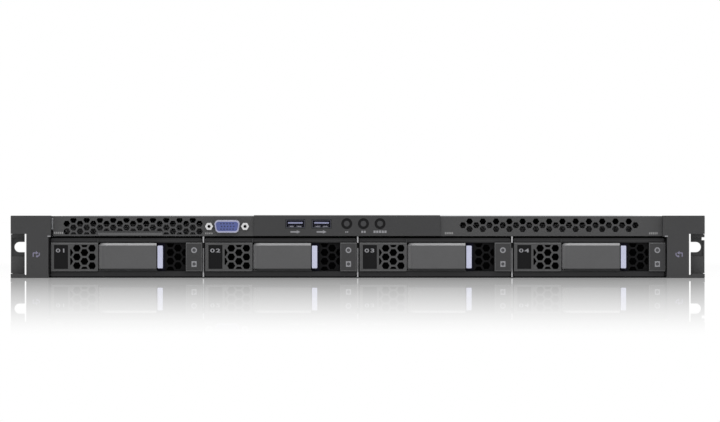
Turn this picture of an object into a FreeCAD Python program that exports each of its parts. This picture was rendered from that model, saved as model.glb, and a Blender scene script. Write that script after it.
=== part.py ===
import FreeCAD, Part
import math
import os
from FreeCAD import Vector

# A 1U rack server with hot-swap drive trays across its front.
# +X is to the right seen from the front, +Y towards the rear, +Z up, all sizes in millimetres.
# The origin lies on the underside, at mid width, in the plane where the ears meet the rack posts.

# Rack, base and sheet metal
rack_width = 482.6          # across both ears, the 19 inch standard
ear_reach = 24.9            # each ear beyond the chassis side
chassis_depth = 700.0       # rack plane to the rear wall's outer face
panel_height = 13.9         # upper front panel
sheet = 1.2                 # steel of the base and the front panel
thin_sheet = 1.0            # steel of the drive cage and the cover
front_reach = 4.0           # floor and walls in front of the rack plane
post_width = 8.0            # inward flange at the front end of each wall
post_foot = 4.6             # that flange starts this far above the panel's lower edge
slip = 0.3                  # gap between pieces that lie against or slide past each other
running_gap = 0.05          # radial gap of a pin in its hole

# Drives, carriers and bays
bay_count = 4
drive_height = 26.1
drive_length = 147.0
drive_setback = 8.0         # drive's front face behind the rack plane
drive_lid_step = 0.8
drive_lid_rim = 2.5
rail = 1.6                  # carrier's side rails
rail_height = 20.0
rail_slot_height = 7.0
rail_slots = 3
carrier_frame = 1.0         # carrier's front plate
carrier_window_rim = 7.0
tray_gap = 0.4              # carrier to cage, each side
drive_lift = 0.2            # drive above the floor
shelf_gap = 0.4             # drive below the shelf
cage_overrun = 5.0          # cage behind the drives
divider_sink = 0.6          # dividers' front edges behind the strips' front
divider_notch_low = 20.8    # notch in those edges that a tray's hook catches
divider_notch = 3.6
panel_gap = 0.2             # front panel above the cage's shelf

# Tray bezel
bezel_low = 0.6
bezel_gap = 1.1             # black gap between bezel and front panel
strip_low = 4.1             # lower strip's height
strip_high = 3.5            # upper strip's height
strip_inset = 0.9
strip_round = 0.8           # strips' outer edges
strip_groove = 0.6          # groove between strips and blocks, as wide as deep
left_block_inset = 1.4
block_inset = 0.75          # indicator block inside the bay's edge
bezel_corner = 1.2
block_edge = 0.5            # chamfer round the front of the raised blocks
strip_reach = 9.0           # strip's front in front of the rack plane
block_reach = 12.0          # raised blocks' front
bezel_back = 5.0
mesh_plate = 1.4            # recessed plate behind the pocket
plate_lap = 1.0             # that plate past the pocket's edges
recess_rim = 0.5            # its mesh inside the pocket's edges
left_block_width = 32.5
lamp_block_width = 11.3
label_inset = 2.2
label_width = 9.7
label_rim = 1.6             # label recess to the block's upper and lower edge
label_depth = 0.8
mesh_pitch = 6.1
mesh_hole = 4.8             # hexagon across its flats
mesh_skin = 2.0             # thickness of the flush mesh
mesh_rim = 1.5
recess_mesh_inset = 5.75     # a column of the recessed mesh inside the pocket's edge
light_pipe_radius = 1.0
light_pipe_spread = 9.6     # between the two light pipes
light_pipe_fall = 5.2       # upper light pipe below the block's top

# Tray lever and latch
lever_reach = 13.0
lever_length = 40.55
lever_skin = 2.0
lever_flange = 1.6
lever_pivot_reach = 7.2     # pivot in front of the rack plane
lever_rise = 0.9            # lever above the pocket's floor
lever_chamfer = 1.6         # along the top of its face
lever_round = 1.6           # along the bottom of its face
lever_pin_radius = 1.0
lever_pin_depth = 2.4
lever_boss_radius = 2.2
lever_rib = 1.2
lever_rib_sink = 1.0        # ribs end before the lever's open back
lever_ribs = 2
latch_gap = 0.7             # latch beside the lever's end
latch_width = 3.65
latch_foot = 1.7            # thickness of the latch's sliding foot
latch_foot_width = 4.85
latch_reach = 12.6
latch_rise = 2.05
latch_corner = 0.6
latch_travel = 2.2
finger_web = 2.0

# Front panel
panel_reach = 9.0
panel_inset = 2.8           # panel's side inside the outer bays' edges
top_flange = 18.7           # length of the panel's folded top
vent_pitch = 5.32
vent_hole = 4.1             # hexagon across its flats
vent_top_rim = 1.4
vent_low_rim = 1.1
left_vent_inset = 7.1       # vent inside the panel's side
left_vent_width = 97.0
left_vent_start = 7.0       # a hole's centre inside the vent's outer end
right_vent_inset = 16.1
right_vent_width = 125.2
right_vent_start = 122.4
left_vent_rise = 5.9        # hole centre above the panel's lower edge
right_vent_rise = 7.5
right_vent_low_rim = 2.8
boss_radius = 2.2
boss_x = (-66.0, 51.0)

# Pull-out tag
tag_inset = 53.6            # tag's middle inside the panel's side
tag_width = 44.9
tag_lip_height = 2.1
tag_lip_rise = 0.4
tag_lip = 0.9
tag_blade = 1.0
tag_blade_inset = 1.4
tag_length = 66.0
tag_guide_wall = 1.0
tag_guide_length = 50.0

# Control panel, buttons and front sockets
control_left = -72.0
control_right = 57.2
control_reach = 11.0
control_rise = 0.6          # control panel above the front panel's top
control_lip = 8.0           # its lip over the front panel's top
control_corner = 0.8
control_window_rim = 12.0
control_window_edge = 2.0
socket_rise = 8.5           # USB sockets' centre above the panel's lower edge
button_x = (-7.6, 4.0, 15.5)
button_rise = 8.6
button_well_radius = 3.8
button_well_depth = 1.2
button_radius = 2.0
button_gap = 0.15
button_collar_radius = 3.2
button_collar = 1.0
button_stem_radius = 1.5
button_sink = 0.2           # cap below the control panel's face
button_travel = 1.2
switch_size = 6.0
usb_x = (-43.3, -25.1)
usb_width = 13.1
usb_height = 5.7
usb_wall = 0.4
usb_tongue = 1.2
usb_tongue_width = 10.4
usb_tongue_length = 8.8
usb_tongue_lift = 0.9
usb_proud = 0.2
vga_x = -90.7
vga_rise = 6.7
vga_width = 18.2
vga_height = 8.4
vga_corner = 2.8
vga_wall = 1.0
vga_reach = 13.0
vga_sink = 0.4
vga_flange_width = 31.0
vga_flange_height = 12.0
vga_flange = 1.0
jackscrew_spread = 25.0
jackscrew_flats = 4.8
jackscrew_length = 3.5
jackscrew_bore = 1.1
jackscrew_shank = 1.4
control_board = 1.6
control_board_back = 4.6
control_board_left = -108.0
control_board_right = 55.0
control_board_low = 1.0     # above the panel's lower edge
control_board_height = 11.0

# Rack ears and their covers
flange = 3.0
flange_show = 0.55          # flange past the cover, where the cover is open
ear_edge = 0.4              # flange inside the cover's upper and lower edge
ear_leg = 1.5
ear_leg_length = 55.0
ear_leg_rim = 4.0
cover_reach = 15.0
cover_height = 43.3
cover_wall = 2.0
cover_corner = 0.5
cover_inner = 1.8           # cover's bar beyond the chassis side, towards the bays
cover_top_inner = 3.5       # its upper block likewise
right_cover_top_inner = 4.7  # and the right cover's
cover_step = 28.8           # height where the upper block steps in
window_low = 2.9
window_high = 30.6
slit_inner = 13.5           # slit's inner side from the chassis side
slit_width = 1.9
slit_low = 1.9
rack_slot_height = 21.4
rack_slot_radius = 3.55
rack_slot_length = 7.1
pocket_depth = 1.5
pocket_low = 15.0
pocket_high = 28.0
pocket_rim = 1.0
notch_depth = 1.9
notch_low = 26.2
notch_height = 2.0

# Cover, its latch and hooks
cover_front = 10.0          # cover's front edge behind the rack plane
cover_flange = 8.5          # depth of the cover's side flanges
cover_flange_inset = 10.0   # flanges shorter than the cover at each end
cover_travel = 12.0
hook_count = 3
hook_inset = 60.0           # first and last hook inside the chassis's ends
hook_radius = 1.5
hook_head = 0.5             # hooks past the cover's flange
hook_drop = 4.0             # hooks below the walls' top
cup_front = 430.0
cup_length = 110.0
cup_width = 40.0
cup_depth = 8.0
cup_wall = 1.2
cup_rim = 4.0
latch_handle_width = 30.0
latch_handle_length = 88.0
latch_handle = 3.0
latch_hinge_inset = 7.0
latch_hinge_radius = 2.4
latch_hinge_pin = 1.2
latch_hinge_drop = 3.4
latch_skirt = 1.6

# Inside: backplane, fans, main board
backplane = 1.6
backplane_inset = 4.0
backplane_height = 36.0
drive_plug_width = 42.0
drive_plug_height = 6.5
drive_plug_rise = 4.0
backplane_window_width = 46.0
backplane_window_height = 14.0
fan_count = 5
fan_spacing = 85.0
fan_front = 190.0
fan_depth = 28.0
fan_top_gap = 0.8
fan_wall = 1.1
fan_corner = 3.0
fan_tip_gap = 0.7
fan_hub_radius = 9.0
fan_blades = 5
fan_blade = 1.3
fan_blade_pitch = 38.0
fan_stator = 4.0
fan_end_gap = 1.0
fan_strut = 2.4
fan_shaft_radius = 1.5
fan_shaft_length = 3.4
board = 1.6
board_lift = 4.8
board_front = 240.0
board_rear_gap = 10.0
board_inset = 6.0
standoff_radius = 2.6
standoff_inset = 14.2       # standoffs inside the main board's edges
standoff_rows = 3
socket_height = 4.0
heatsink_x = (-95.0, 95.0)
heatsink_y = 330.0
heatsink_width = 78.0
heatsink_length = 94.0
heatsink_base = 4.0
heatsink_height = 26.0
heatsink_fins = 13
heatsink_fin = 1.6
memory_y = 345.0
memory_pitch = 9.0
memory_slots = 4
memory_inner_x = 14.0       # banks of modules beside the middle
memory_inset = 33.2         # outer banks inside the main board's edges
memory_length = 133.0
memory_height = 30.0
memory_board = 1.4
memory_socket_width = 6.0
memory_socket_height = 5.0
memory_socket_over = 3.5

# Rear wall
rear_vga_inset = 30.4       # from the chassis side
rear_usb_count = 2
rear_usb_start = 34.0       # first one from the VGA socket
rear_usb_pitch = 17.0
network_count = 3
network_start = 78.0        # first one from the VGA socket
network_pitch = 21.0
network_width = 16.2
network_height = 13.6
network_depth = 18.0
network_mouth_width = 11.8
network_mouth_height = 8.4
network_mouth_depth = 12.0
network_mouth_rise = 2.2
socket_proud = 0.8
rear_vga_rise = 6.2
rear_vga_reach = 5.5
slot_inset = 20.4           # first slot from the chassis side
slot_spacing = 10.0
slot_width = 110.0
slot_low = 24.5
slot_height = 13.0
slot_cover_rim = 2.5
slot_vents = 9
slot_vent_width = 4.0
slot_vent_height = 8.0
rear_vent_pitch = 7.0
rear_vent_hole = 5.6
rear_vent_gap = 14.0        # vent beside the last network socket
rear_vent_inset = 8.0       # and beside the power supplies' partition
rear_vent_low = 6.0
rear_vent_high = 20.5

# Power supplies
psu_count = 2
psu_width = 73.5
psu_depth = 185.0
psu_spacing = 2.0
psu_side_gap = 2.5          # power supply to the cover's hooks
psu_top_gap = 1.5
psu_wall = 1.0
psu_fan_x = 20.8            # from the power supply's left side
psu_fan_bore = 18.0
psu_fan_ring = 1.6
psu_fan_depth = 15.0
psu_vent_pitch = 7.2
psu_vent_hole = 5.8
inlet_x = 58.4
inlet_rise = 14.2
inlet_width = 27.0
inlet_height = 19.8
inlet_depth = 16.0
inlet_wall = 1.6
inlet_pin_width = 2.0
inlet_pin_height = 4.0
inlet_pin_spread = 7.0
handle_x = 41.6
handle_width = 3.4
handle_bar = 3.0
handle_reach = 25.0
handle_low = 5.0
handle_high = 34.0
handle_corner = 3.0
psu_latch_x = 60.0
psu_latch_rise = 31.0
psu_latch_width = 14.0
psu_latch_height = 7.0
psu_latch_reach = 9.0
psu_latch_stem_width = 6.0
psu_latch_stem_height = 4.0
psu_latch_stem = 8.0
psu_latch_travel = 3.0
psu_edge_width = 40.0
psu_edge_length = 8.0
psu_edge_rise = 12.0

# Rail studs and screws
stud_count = 3
stud_inset = 110.0          # first and last stud inside the chassis's ends
stud_height = 21.5
stud_radius = 2.5
stud_length = 2.0
stud_head_radius = 4.0
stud_head = 1.5
screw_head_radius = 2.9
screw_head = 1.6
screw_shank_radius = 1.5
ear_screws = ((14.0, 12.0), (14.0, 31.0), (42.0, 21.5))

# Worked out from the sizes above
chassis_half = rack_width / 2 - ear_reach
cage_half = chassis_half - sheet - slip
bays_half = cage_half - thin_sheet / 2
bay_pitch = 2 * bays_half / bay_count
carrier_width = bay_pitch - thin_sheet - 2 * tray_gap
drive_width = carrier_width - 2 * (rail + slip)
drive_low = sheet + drive_lift
shelf_low = drive_low + drive_height + shelf_gap
shelf_high = shelf_low + thin_sheet
panel_low = shelf_high + panel_gap
chassis_height = panel_low + panel_height
cover_low = chassis_height - thin_sheet
hook_length = slip + thin_sheet + hook_head
wall_top = cover_low - slip
cage_rear = drive_setback + drive_length + cage_overrun
bezel_high = panel_low - bezel_gap
block_low = bezel_low + strip_low
block_high = bezel_high - strip_high
block_middle = (block_low + block_high) / 2
pocket_left = left_block_inset + left_block_width
pocket_right = bay_pitch - block_inset - lamp_block_width
panel_half = bays_half - panel_inset
left_vent_left = -panel_half + left_vent_inset
left_vent_right = left_vent_left + left_vent_width
right_vent_right = panel_half - right_vent_inset
right_vent_left = right_vent_right - right_vent_width
tag_middle = -panel_half + tag_inset
board_low = sheet + board_lift
board_top = board_low + board
fan_size = cover_low - sheet - fan_top_gap
fan_bore = fan_size / 2 - fan_wall
fan_middle = sheet + fan_size / 2
psu_low = sheet + slip
psu_high = cover_low - psu_top_gap
psu_front = chassis_depth - psu_depth
psu_first_left = (chassis_half - sheet - hook_length - psu_side_gap
                  - psu_count * psu_width - (psu_count - 1) * psu_spacing)
partition_left = psu_first_left - 2 * slip - sheet
board_left = -chassis_half + sheet + board_inset
board_right = partition_left - board_inset
board_rear = chassis_depth - board_rear_gap
memory_bank_x = (board_left + memory_inset, -memory_inner_x, memory_inner_x, -board_left - memory_inset)
rear_vga_x = -chassis_half + rear_vga_inset
rear_usb_x = [rear_vga_x + rear_usb_start + number * rear_usb_pitch for number in range(rear_usb_count)]
network_x = [rear_vga_x + network_start + number * network_pitch for number in range(network_count)]
rear_vent_left = network_x[-1] + network_width / 2 + rear_vent_gap
rear_vent_right = partition_left - rear_vent_inset
slot_first = -chassis_half + slot_inset
slot_count = int((partition_left - slot_first) // (slot_width + slot_spacing))
slot_x = [slot_first + slot_width / 2 + number * (slot_width + slot_spacing) for number in range(slot_count)]
lever_left = pocket_left + slip
lever_barrel = lever_reach - lever_pivot_reach
lever_pivot = lever_left + lever_barrel
lever_right = lever_left + lever_length
lever_low = block_low + lever_rise
lever_high = block_high - slip
latch_left = lever_right + latch_gap
socket_height_z = panel_low + socket_rise
button_height_z = panel_low + button_rise
vga_height_z = panel_low + vga_rise
control_board_front = control_board_back - control_board
flange_outer = -rack_width / 2
cover_outer = flange_outer + flange_show
slit_right = -chassis_half - slit_inner
slit_left = slit_right - slit_width


def box(x0, x1, y0, y1, z0, z1):
    return Part.makeBox(x1 - x0, y1 - y0, z1 - z0, Vector(x0, y0, z0))


def rod(radius, start, end):
    axis = end - start
    return Part.makeCylinder(radius, axis.Length, start, axis)


def fused(*pieces):
    whole = pieces[0].multiFuse(list(pieces[1:])).removeSplitter()
    return whole.Solids[0] if len(whole.Solids) == 1 else whole


def less(piece, *tools):
    rest = piece.cut(list(tools))
    return rest.Solids[0] if len(rest.Solids) == 1 else rest


def mirrored(piece):
    return piece.mirror(Vector(0, 0, 0), Vector(1, 0, 0))


def moved(piece, x=0.0, y=0.0, z=0.0):
    copy = piece.copy()
    copy.translate(Vector(x, y, z))
    return copy


def edges_along(piece, direction):
    # Straight edges that run along a direction.
    found = []
    for edge in piece.Edges:
        run = edge.Vertexes[-1].Point - edge.Vertexes[0].Point
        if run.Length > 0 and abs(run.dot(direction)) > 0.999 * run.Length:
            found.append(edge)
    return found


def rounded_plate(x0, x1, y0, y1, z0, z1, radius):
    # A block whose four corners, seen from the front, are round.
    plate = box(x0, x1, y0, y1, z0, z1)
    return plate.makeFillet(radius, edges_along(plate, Vector(0, 1, 0)))


def edges_at_front(piece, y):
    # Edges that lie wholly in the plane at y.
    return [edge for edge in piece.Edges
            if abs(edge.BoundBox.YMin - y) < 1e-6 and abs(edge.BoundBox.YMax - y) < 1e-6]


def eased_block(x0, x1, y0, y1, z0, z1, edge):
    # A block with a chamfer round its front face.
    block = box(x0, x1, y0, y1, z0, z1)
    return block.makeChamfer(edge, edges_at_front(block, y0))


def outline(points, y0, y1):
    # A closed outline of (x, z) points, extruded from y0 to y1.
    corners = [Vector(x, y0, z) for x, z in points]
    face = Part.Face(Part.makePolygon(corners + corners[:1]))
    return face.extrude(Vector(0, y1 - y0, 0))


def hexagon(x, z, flats):
    # A hexagon face with flat top and bottom, in the plane y = 0.
    radius = flats / math.sqrt(3)
    corners = []
    for corner in range(7):
        turn = math.radians(60 * corner)
        corners.append(Vector(x + radius * math.cos(turn), 0, z + radius * math.sin(turn)))
    return Part.Face(Part.makePolygon(corners))


def zone(x0, x1, z0, z1):
    corners = [Vector(x0, 0, z0), Vector(x1, 0, z0), Vector(x1, 0, z1), Vector(x0, 0, z1)]
    return Part.Face(Part.makePolygon(corners + corners[:1]))


def hexagon_vent(area, x, z, pitch, flats, y0, y1, least=0.3):
    # Staggered columns of hexagon holes through (x, z); the area's edge trims the outer ones,
    # and a hole that keeps less than the least share of itself is left out.
    step = pitch * math.sqrt(3) / 2
    limits = area.BoundBox
    holes = []
    for column in range(math.floor((limits.XMin - x) / step), math.ceil((limits.XMax - x) / step) + 1):
        start = z + pitch / 2 * (column % 2)
        for row in range(math.floor((limits.ZMin - start) / pitch),
                         math.ceil((limits.ZMax - start) / pitch) + 1):
            whole = hexagon(x + column * step, start + row * pitch, flats)
            kept = whole.common(area)
            if kept.Area > least * whole.Area:
                hole = kept.Faces[0].extrude(Vector(0, y1 - y0, 0))
                holes.append(moved(hole, y=y0))
    return holes


def d_block(x, z, width, height, corner, y0, y1):
    # The outline of a VGA shell: wider at the top, with round corners.
    slant = height * math.tan(math.radians(10))
    block = outline([(x - width / 2, z + height / 2), (x + width / 2, z + height / 2),
                     (x + width / 2 - slant, z - height / 2), (x - width / 2 + slant, z - height / 2)],
                    y0, y1)
    return block.makeFillet(corner, edges_along(block, Vector(0, 1, 0)))


def save(node, *pieces):
    solids = [solid for piece in pieces for solid in piece.Solids]
    shape = solids[0] if len(solids) == 1 else Part.makeCompound(solids)
    shape.exportStep(os.path.join("parts", node + ".step"))


def spread(first, last, count):
    return [first + (last - first) * number / (count - 1) for number in range(count)]


def hook_places():
    return spread(hook_inset, chassis_depth - hook_inset, hook_count)


def stud_places():
    return spread(stud_inset, chassis_depth - stud_inset, stud_count)


def bay_left(bay):
    return -bays_half + bay * bay_pitch


def psu_left(unit):
    return psu_first_left + unit * (psu_width + psu_spacing)


# Base and drive cage

def rear_wall_cuts():
    y0, y1 = chassis_depth - sheet, chassis_depth
    cuts = []
    for x in slot_x:
        cuts.append(box(x - slot_width / 2, x + slot_width / 2, y0, y1, slot_low, slot_low + slot_height))
    for x in network_x:
        cuts.append(box(x - network_width / 2 - slip, x + network_width / 2 + slip, y0, y1,
                        board_top - slip, board_top + network_height + slip))
    for x in rear_usb_x:
        cuts.append(box(x - usb_width / 2 - slip, x + usb_width / 2 + slip, y0, y1,
                        board_top - slip, board_top + usb_height + slip))
    cuts.append(d_block(rear_vga_x, board_top + rear_vga_rise, vga_width + 2 * slip, vga_height + 2 * slip,
                        vga_corner, y0, y1))
    for side in (-1, 1):
        x = rear_vga_x + side * jackscrew_spread / 2
        z = board_top + rear_vga_rise
        cuts.append(rod(jackscrew_shank + slip, Vector(x, y0, z), Vector(x, y1, z)))
    middle = (rear_vent_low + rear_vent_high) / 2
    cuts += hexagon_vent(zone(rear_vent_left, rear_vent_right, rear_vent_low, rear_vent_high),
                         rear_vent_left + rear_vent_hole / 2, middle,
                         rear_vent_pitch, rear_vent_hole, y0, y1, 0.9)
    return cuts


def chassis_tray():
    floor = box(-chassis_half, chassis_half, -front_reach, chassis_depth, 0, sheet)
    wall = box(chassis_half - sheet, chassis_half, -front_reach, chassis_depth, 0, wall_top)
    post = box(chassis_half - post_width, chassis_half, -front_reach, -front_reach + sheet,
               panel_low + post_foot, wall_top)
    partition = box(partition_left, partition_left + sheet, psu_front, chassis_depth, 0, psu_high)
    hooks = []
    for y in hook_places():
        z = wall_top - hook_drop
        hooks.append(rod(hook_radius, Vector(chassis_half - sheet - hook_length, y, z),
                         Vector(chassis_half - sheet, y, z)))
    side = fused(wall, post, *hooks)
    standoffs = [rod(standoff_radius, Vector(x, y, 0), Vector(x, y, board_low))
                 for x in spread(board_left + standoff_inset, board_right - standoff_inset, standoff_rows)
                 for y in spread(board_front + standoff_inset, board_rear - standoff_inset, standoff_rows)]
    return fused(floor, side, mirrored(side), partition, *standoffs)


def rear_panel():
    # The plate between the left wall and the power supplies' partition.
    plate = box(-chassis_half + sheet, partition_left, chassis_depth - sheet, chassis_depth, sheet, wall_top)
    return less(plate, *rear_wall_cuts())


def drive_cage():
    plates = [box(-cage_half, cage_half, -front_reach, cage_rear, shelf_low, shelf_high)]
    for bay in range(bay_count + 1):
        x = bay_left(bay) - thin_sheet / 2
        plates.append(box(x, x + thin_sheet, -front_reach, cage_rear, sheet, shelf_high))
    for bay in range(1, bay_count):
        x = bay_left(bay) - thin_sheet / 2
        front = -strip_reach + divider_sink
        edge = box(x, x + thin_sheet, front, -front_reach, bezel_low, shelf_high)
        notch = box(x, x + thin_sheet, front, -front_reach - thin_sheet, divider_notch_low,
                    divider_notch_low + divider_notch)
        plates.append(less(edge, notch))
    return fused(*plates)


# Drive trays

def tray_bezel(left):
    strip_left = left + strip_inset
    strip_right = left + bay_pitch - strip_inset
    base = rounded_plate(strip_left, strip_right, -strip_reach, -bezel_back, bezel_low, bezel_high, bezel_corner)
    base = base.makeFillet(strip_round, edges_at_front(base, -strip_reach))
    block_left = left + left_block_inset
    block_back = -strip_reach + strip_round
    lamp_right = left + bay_pitch - block_inset
    label_block = eased_block(block_left, block_left + left_block_width, -block_reach, block_back,
                              block_low, block_high, block_edge)
    lamp_block = eased_block(left + pocket_right, lamp_right, -block_reach, block_back,
                             block_low, block_high, block_edge)
    groove_back = -strip_reach + strip_groove
    grooves = [box(strip_left + bezel_corner, strip_right - bezel_corner, -strip_reach, groove_back,
                   low, low + strip_groove) for low in (block_low - strip_groove, block_high)]
    plate = box(left + pocket_left - plate_lap, left + pocket_right + plate_lap, -bezel_back,
                -bezel_back + mesh_plate, block_low - plate_lap, block_high + plate_lap)
    pocket = box(left + pocket_left, left + pocket_right, -block_reach, -bezel_back, block_low, block_high)
    label = box(block_left + label_inset, block_left + label_inset + label_width, -block_reach,
                -block_reach + label_depth, block_low + label_rim, block_high - label_rim)
    mesh_left = block_left + label_inset + label_width + mesh_rim
    mesh_right = block_left + left_block_width - mesh_rim
    mesh_low = block_low + mesh_rim
    mesh_high = block_high - mesh_rim
    duct = box(mesh_left, mesh_right, -block_reach + mesh_skin, -bezel_back, mesh_low, mesh_high)
    flush_mesh = hexagon_vent(zone(mesh_left, mesh_right, mesh_low, mesh_high),
                              mesh_right - mesh_hole / 2, block_middle, mesh_pitch, mesh_hole,
                              -block_reach, -block_reach + mesh_skin)
    recess_left = left + latch_left + latch_foot_width + latch_travel / 2
    recess = zone(recess_left, left + pocket_right - recess_rim, block_low + recess_rim, block_high - recess_rim)
    deep_mesh = hexagon_vent(recess, left + pocket_right - recess_mesh_inset, block_middle, mesh_pitch,
                             mesh_hole, -bezel_back, -bezel_back + mesh_plate)
    return less(fused(base, label_block, lamp_block, plate), pocket, label, duct, *grooves,
                *flush_mesh, *deep_mesh, *lever_room(left), *lever_bores(left), *light_pipe_bores(left))


def lever_room(left):
    # Openings in the recessed plate: one lets the lever's round end swing back, the others pass air.
    y0, y1 = -bezel_back, -bezel_back + mesh_plate
    swing_right = left + lever_pivot + finger_web
    rooms = [box(left + pocket_left, swing_right, y0, y1, block_low, block_high)]
    first = swing_right + finger_web
    width = (left + lever_right - finger_web - first) / 3
    for number in range(3):
        x = first + number * width
        rooms.append(box(x, x + width - finger_web, y0, y1, lever_low, lever_high - lever_flange))
    return rooms


def lever_bores(left):
    x = left + lever_pivot
    y = -lever_pivot_reach
    radius = lever_pin_radius + running_gap
    depth = lever_pin_depth + slip
    return [rod(radius, Vector(x, y, block_low - depth), Vector(x, y, block_low)),
            rod(radius, Vector(x, y, block_high), Vector(x, y, block_high + depth))]


def light_pipe_places(left):
    x = left + bay_pitch - block_inset - lamp_block_width / 2
    top = block_high - light_pipe_fall
    return [(x, top), (x, top - light_pipe_spread)]


def light_pipe_bores(left):
    return [rod(light_pipe_radius + running_gap, Vector(x, -block_reach, z), Vector(x, -bezel_back, z))
            for x, z in light_pipe_places(left)]


def light_pipes(left):
    return [rod(light_pipe_radius, Vector(x, -block_reach, z), Vector(x, -bezel_back, z))
            for x, z in light_pipe_places(left)]


def tray_lever(left):
    low, high = lever_low, lever_high

    def plan(inset, z0, z1):
        # The lever seen from above: a round end about the pivot, a straight front, an open back.
        x = left + lever_pivot
        y = -lever_pivot_reach
        radius = lever_barrel - inset
        start = Vector(x - radius, y, z0)
        front = Vector(x, y - radius, z0)
        middle = Vector(x - radius * math.sqrt(0.5), y - radius * math.sqrt(0.5), z0)
        far = Vector(left + lever_right - inset, y - radius, z0)
        back = Vector(left + lever_right - inset, y, z0)
        edges = [Part.Arc(start, middle, front).toShape(), Part.makeLine(front, far),
                 Part.makeLine(far, back), Part.makeLine(back, start)]
        return Part.Face(Part.Wire(edges)).extrude(Vector(0, 0, z1 - z0))

    def face_edges(piece, z):
        # The edges along the face and round the pivot at one height.
        return [edge for edge in piece.Edges
                if abs(edge.BoundBox.ZMin - z) < 1e-6 and abs(edge.BoundBox.ZMax - z) < 1e-6
                and edge.CenterOfMass.y < -lever_pivot_reach - lever_pin_radius
                and edge.CenterOfMass.x < left + lever_right - lever_skin]

    whole = plan(0, low, high)
    whole = whole.makeChamfer(lever_chamfer, face_edges(whole, high))
    whole = whole.makeFillet(lever_round, face_edges(whole, low))
    body = less(whole, plan(lever_skin, low + lever_flange, high - lever_flange))
    face = -lever_reach
    ribs = []
    for number in range(lever_ribs):
        x = left + lever_pivot + (number + 1) * (lever_right - lever_pivot) / (lever_ribs + 1)
        ribs.append(box(x - lever_rib / 2, x + lever_rib / 2, face + lever_skin / 2,
                        -lever_pivot_reach - lever_rib_sink,
                        low + lever_flange / 2, high - lever_flange / 2))
    pins = []
    x = left + lever_pivot
    y = -lever_pivot_reach
    for seat, inner, end in ((low, low + lever_flange, block_low - lever_pin_depth),
                             (high, high - lever_flange, block_high + lever_pin_depth)):
        pins.append(rod(lever_boss_radius, Vector(x, y, seat), Vector(x, y, inner)))
        pins.append(rod(lever_pin_radius, Vector(x, y, inner), Vector(x, y, end)))
    return fused(body, *ribs, *pins)


def lever_latch(left):
    x = left + latch_left
    foot_back = -bezel_back - slip
    foot_front = foot_back - latch_foot
    head = rounded_plate(x, x + latch_width, -latch_reach, foot_front + latch_foot / 2,
                         block_low + latch_rise, block_high - latch_rise, latch_corner)
    foot = box(x, x + latch_foot_width, foot_front, foot_back, block_low + slip, block_high - slip)
    return fused(head, foot)


def tray_carrier(left):
    middle = left + bay_pitch / 2
    half = carrier_width / 2
    front = -bezel_back + mesh_plate
    low = sheet + slip
    high = shelf_low - shelf_gap
    frame = box(middle - half, middle + half, front, front + carrier_frame, low, high)
    window = box(middle - half + carrier_window_rim, middle + half - carrier_window_rim,
                 front, front + carrier_frame, block_low - recess_rim, block_high + recess_rim)
    back = drive_setback + drive_length - rail_height / 2
    rail_low = (low + high - rail_height) / 2
    side = box(middle - half, middle - half + rail, front, back, rail_low, rail_low + rail_height)
    slots = []
    run = (back - drive_setback) / rail_slots
    for number in range(rail_slots):
        y = drive_setback + number * run
        z = rail_low + (rail_height - rail_slot_height) / 2
        slots.append(box(middle - half, middle - half + rail, y + run / 6, y + run * 5 / 6,
                         z, z + rail_slot_height))
    side = less(side, *slots)
    other = moved(side, x=2 * half - rail)
    return fused(less(frame, window), side, other)


def hard_drive(left):
    middle = left + bay_pitch / 2
    half = drive_width / 2
    back = drive_setback + drive_length
    high = drive_low + drive_height
    body = box(middle - half, middle + half, drive_setback, back, drive_low, high - drive_lid_step)
    lid = box(middle - half + drive_lid_rim, middle + half - drive_lid_rim, drive_setback + drive_lid_rim,
              back - drive_lid_rim, high - drive_lid_step, high)
    lid = lid.makeFillet(4 * drive_lid_rim, edges_along(lid, Vector(0, 0, 1)))
    plug = box(middle - drive_plug_width / 2 - slip, middle + drive_plug_width / 2 + slip,
               back - drive_plug_height, back, drive_low, drive_low + drive_plug_rise + drive_plug_height + slip)
    return less(fused(body, lid), plug)


# Front panel, control panel and sockets

def front_panel():
    back = -panel_reach + sheet
    face = box(-panel_half, panel_half, -panel_reach, back, panel_low, chassis_height)
    top_low = chassis_height - sheet
    rear = -panel_reach + top_flange
    inner_top = box(-panel_half, panel_half, -panel_reach, rear, top_low, chassis_height)
    wide_top = box(-chassis_half, chassis_half, -flange + slip, rear, top_low, chassis_height)
    side = box(panel_half - sheet, panel_half, -panel_reach, -front_reach - slip,
               panel_low + post_foot, chassis_height)
    window = box(control_left + control_window_rim, control_right - control_window_rim, -panel_reach, back,
                 panel_low + control_window_edge, chassis_height - control_window_edge)
    z = vga_height_z
    d_hole = d_block(vga_x, z, vga_width + 2 * slip, vga_height + 2 * slip, vga_corner, -panel_reach, back)
    screw_holes = [rod(jackscrew_shank + slip, Vector(vga_x + side * jackscrew_spread / 2, -panel_reach, z),
                       Vector(vga_x + side * jackscrew_spread / 2, back, z)) for side in (-1, 1)]
    bosses = [rod(boss_radius, Vector(x, -panel_reach + sheet / 2, z), Vector(x, control_board_front, z))
              for x in boss_x]
    return less(fused(face, inner_top, wide_top, side, mirrored(side), *bosses), window, d_hole, tag_slot(),
                *screw_holes, *left_vent(), *right_vent())


def tag_slot():
    half = tag_width / 2 - tag_blade_inset + slip
    low = tag_blade_low() - slip
    return box(tag_middle - half, tag_middle + half, -panel_reach, -panel_reach + sheet,
               low, low + tag_blade + 2 * slip)


def tag_blade_low():
    return panel_low + tag_lip_rise + tag_lip_height - tag_blade


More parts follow.
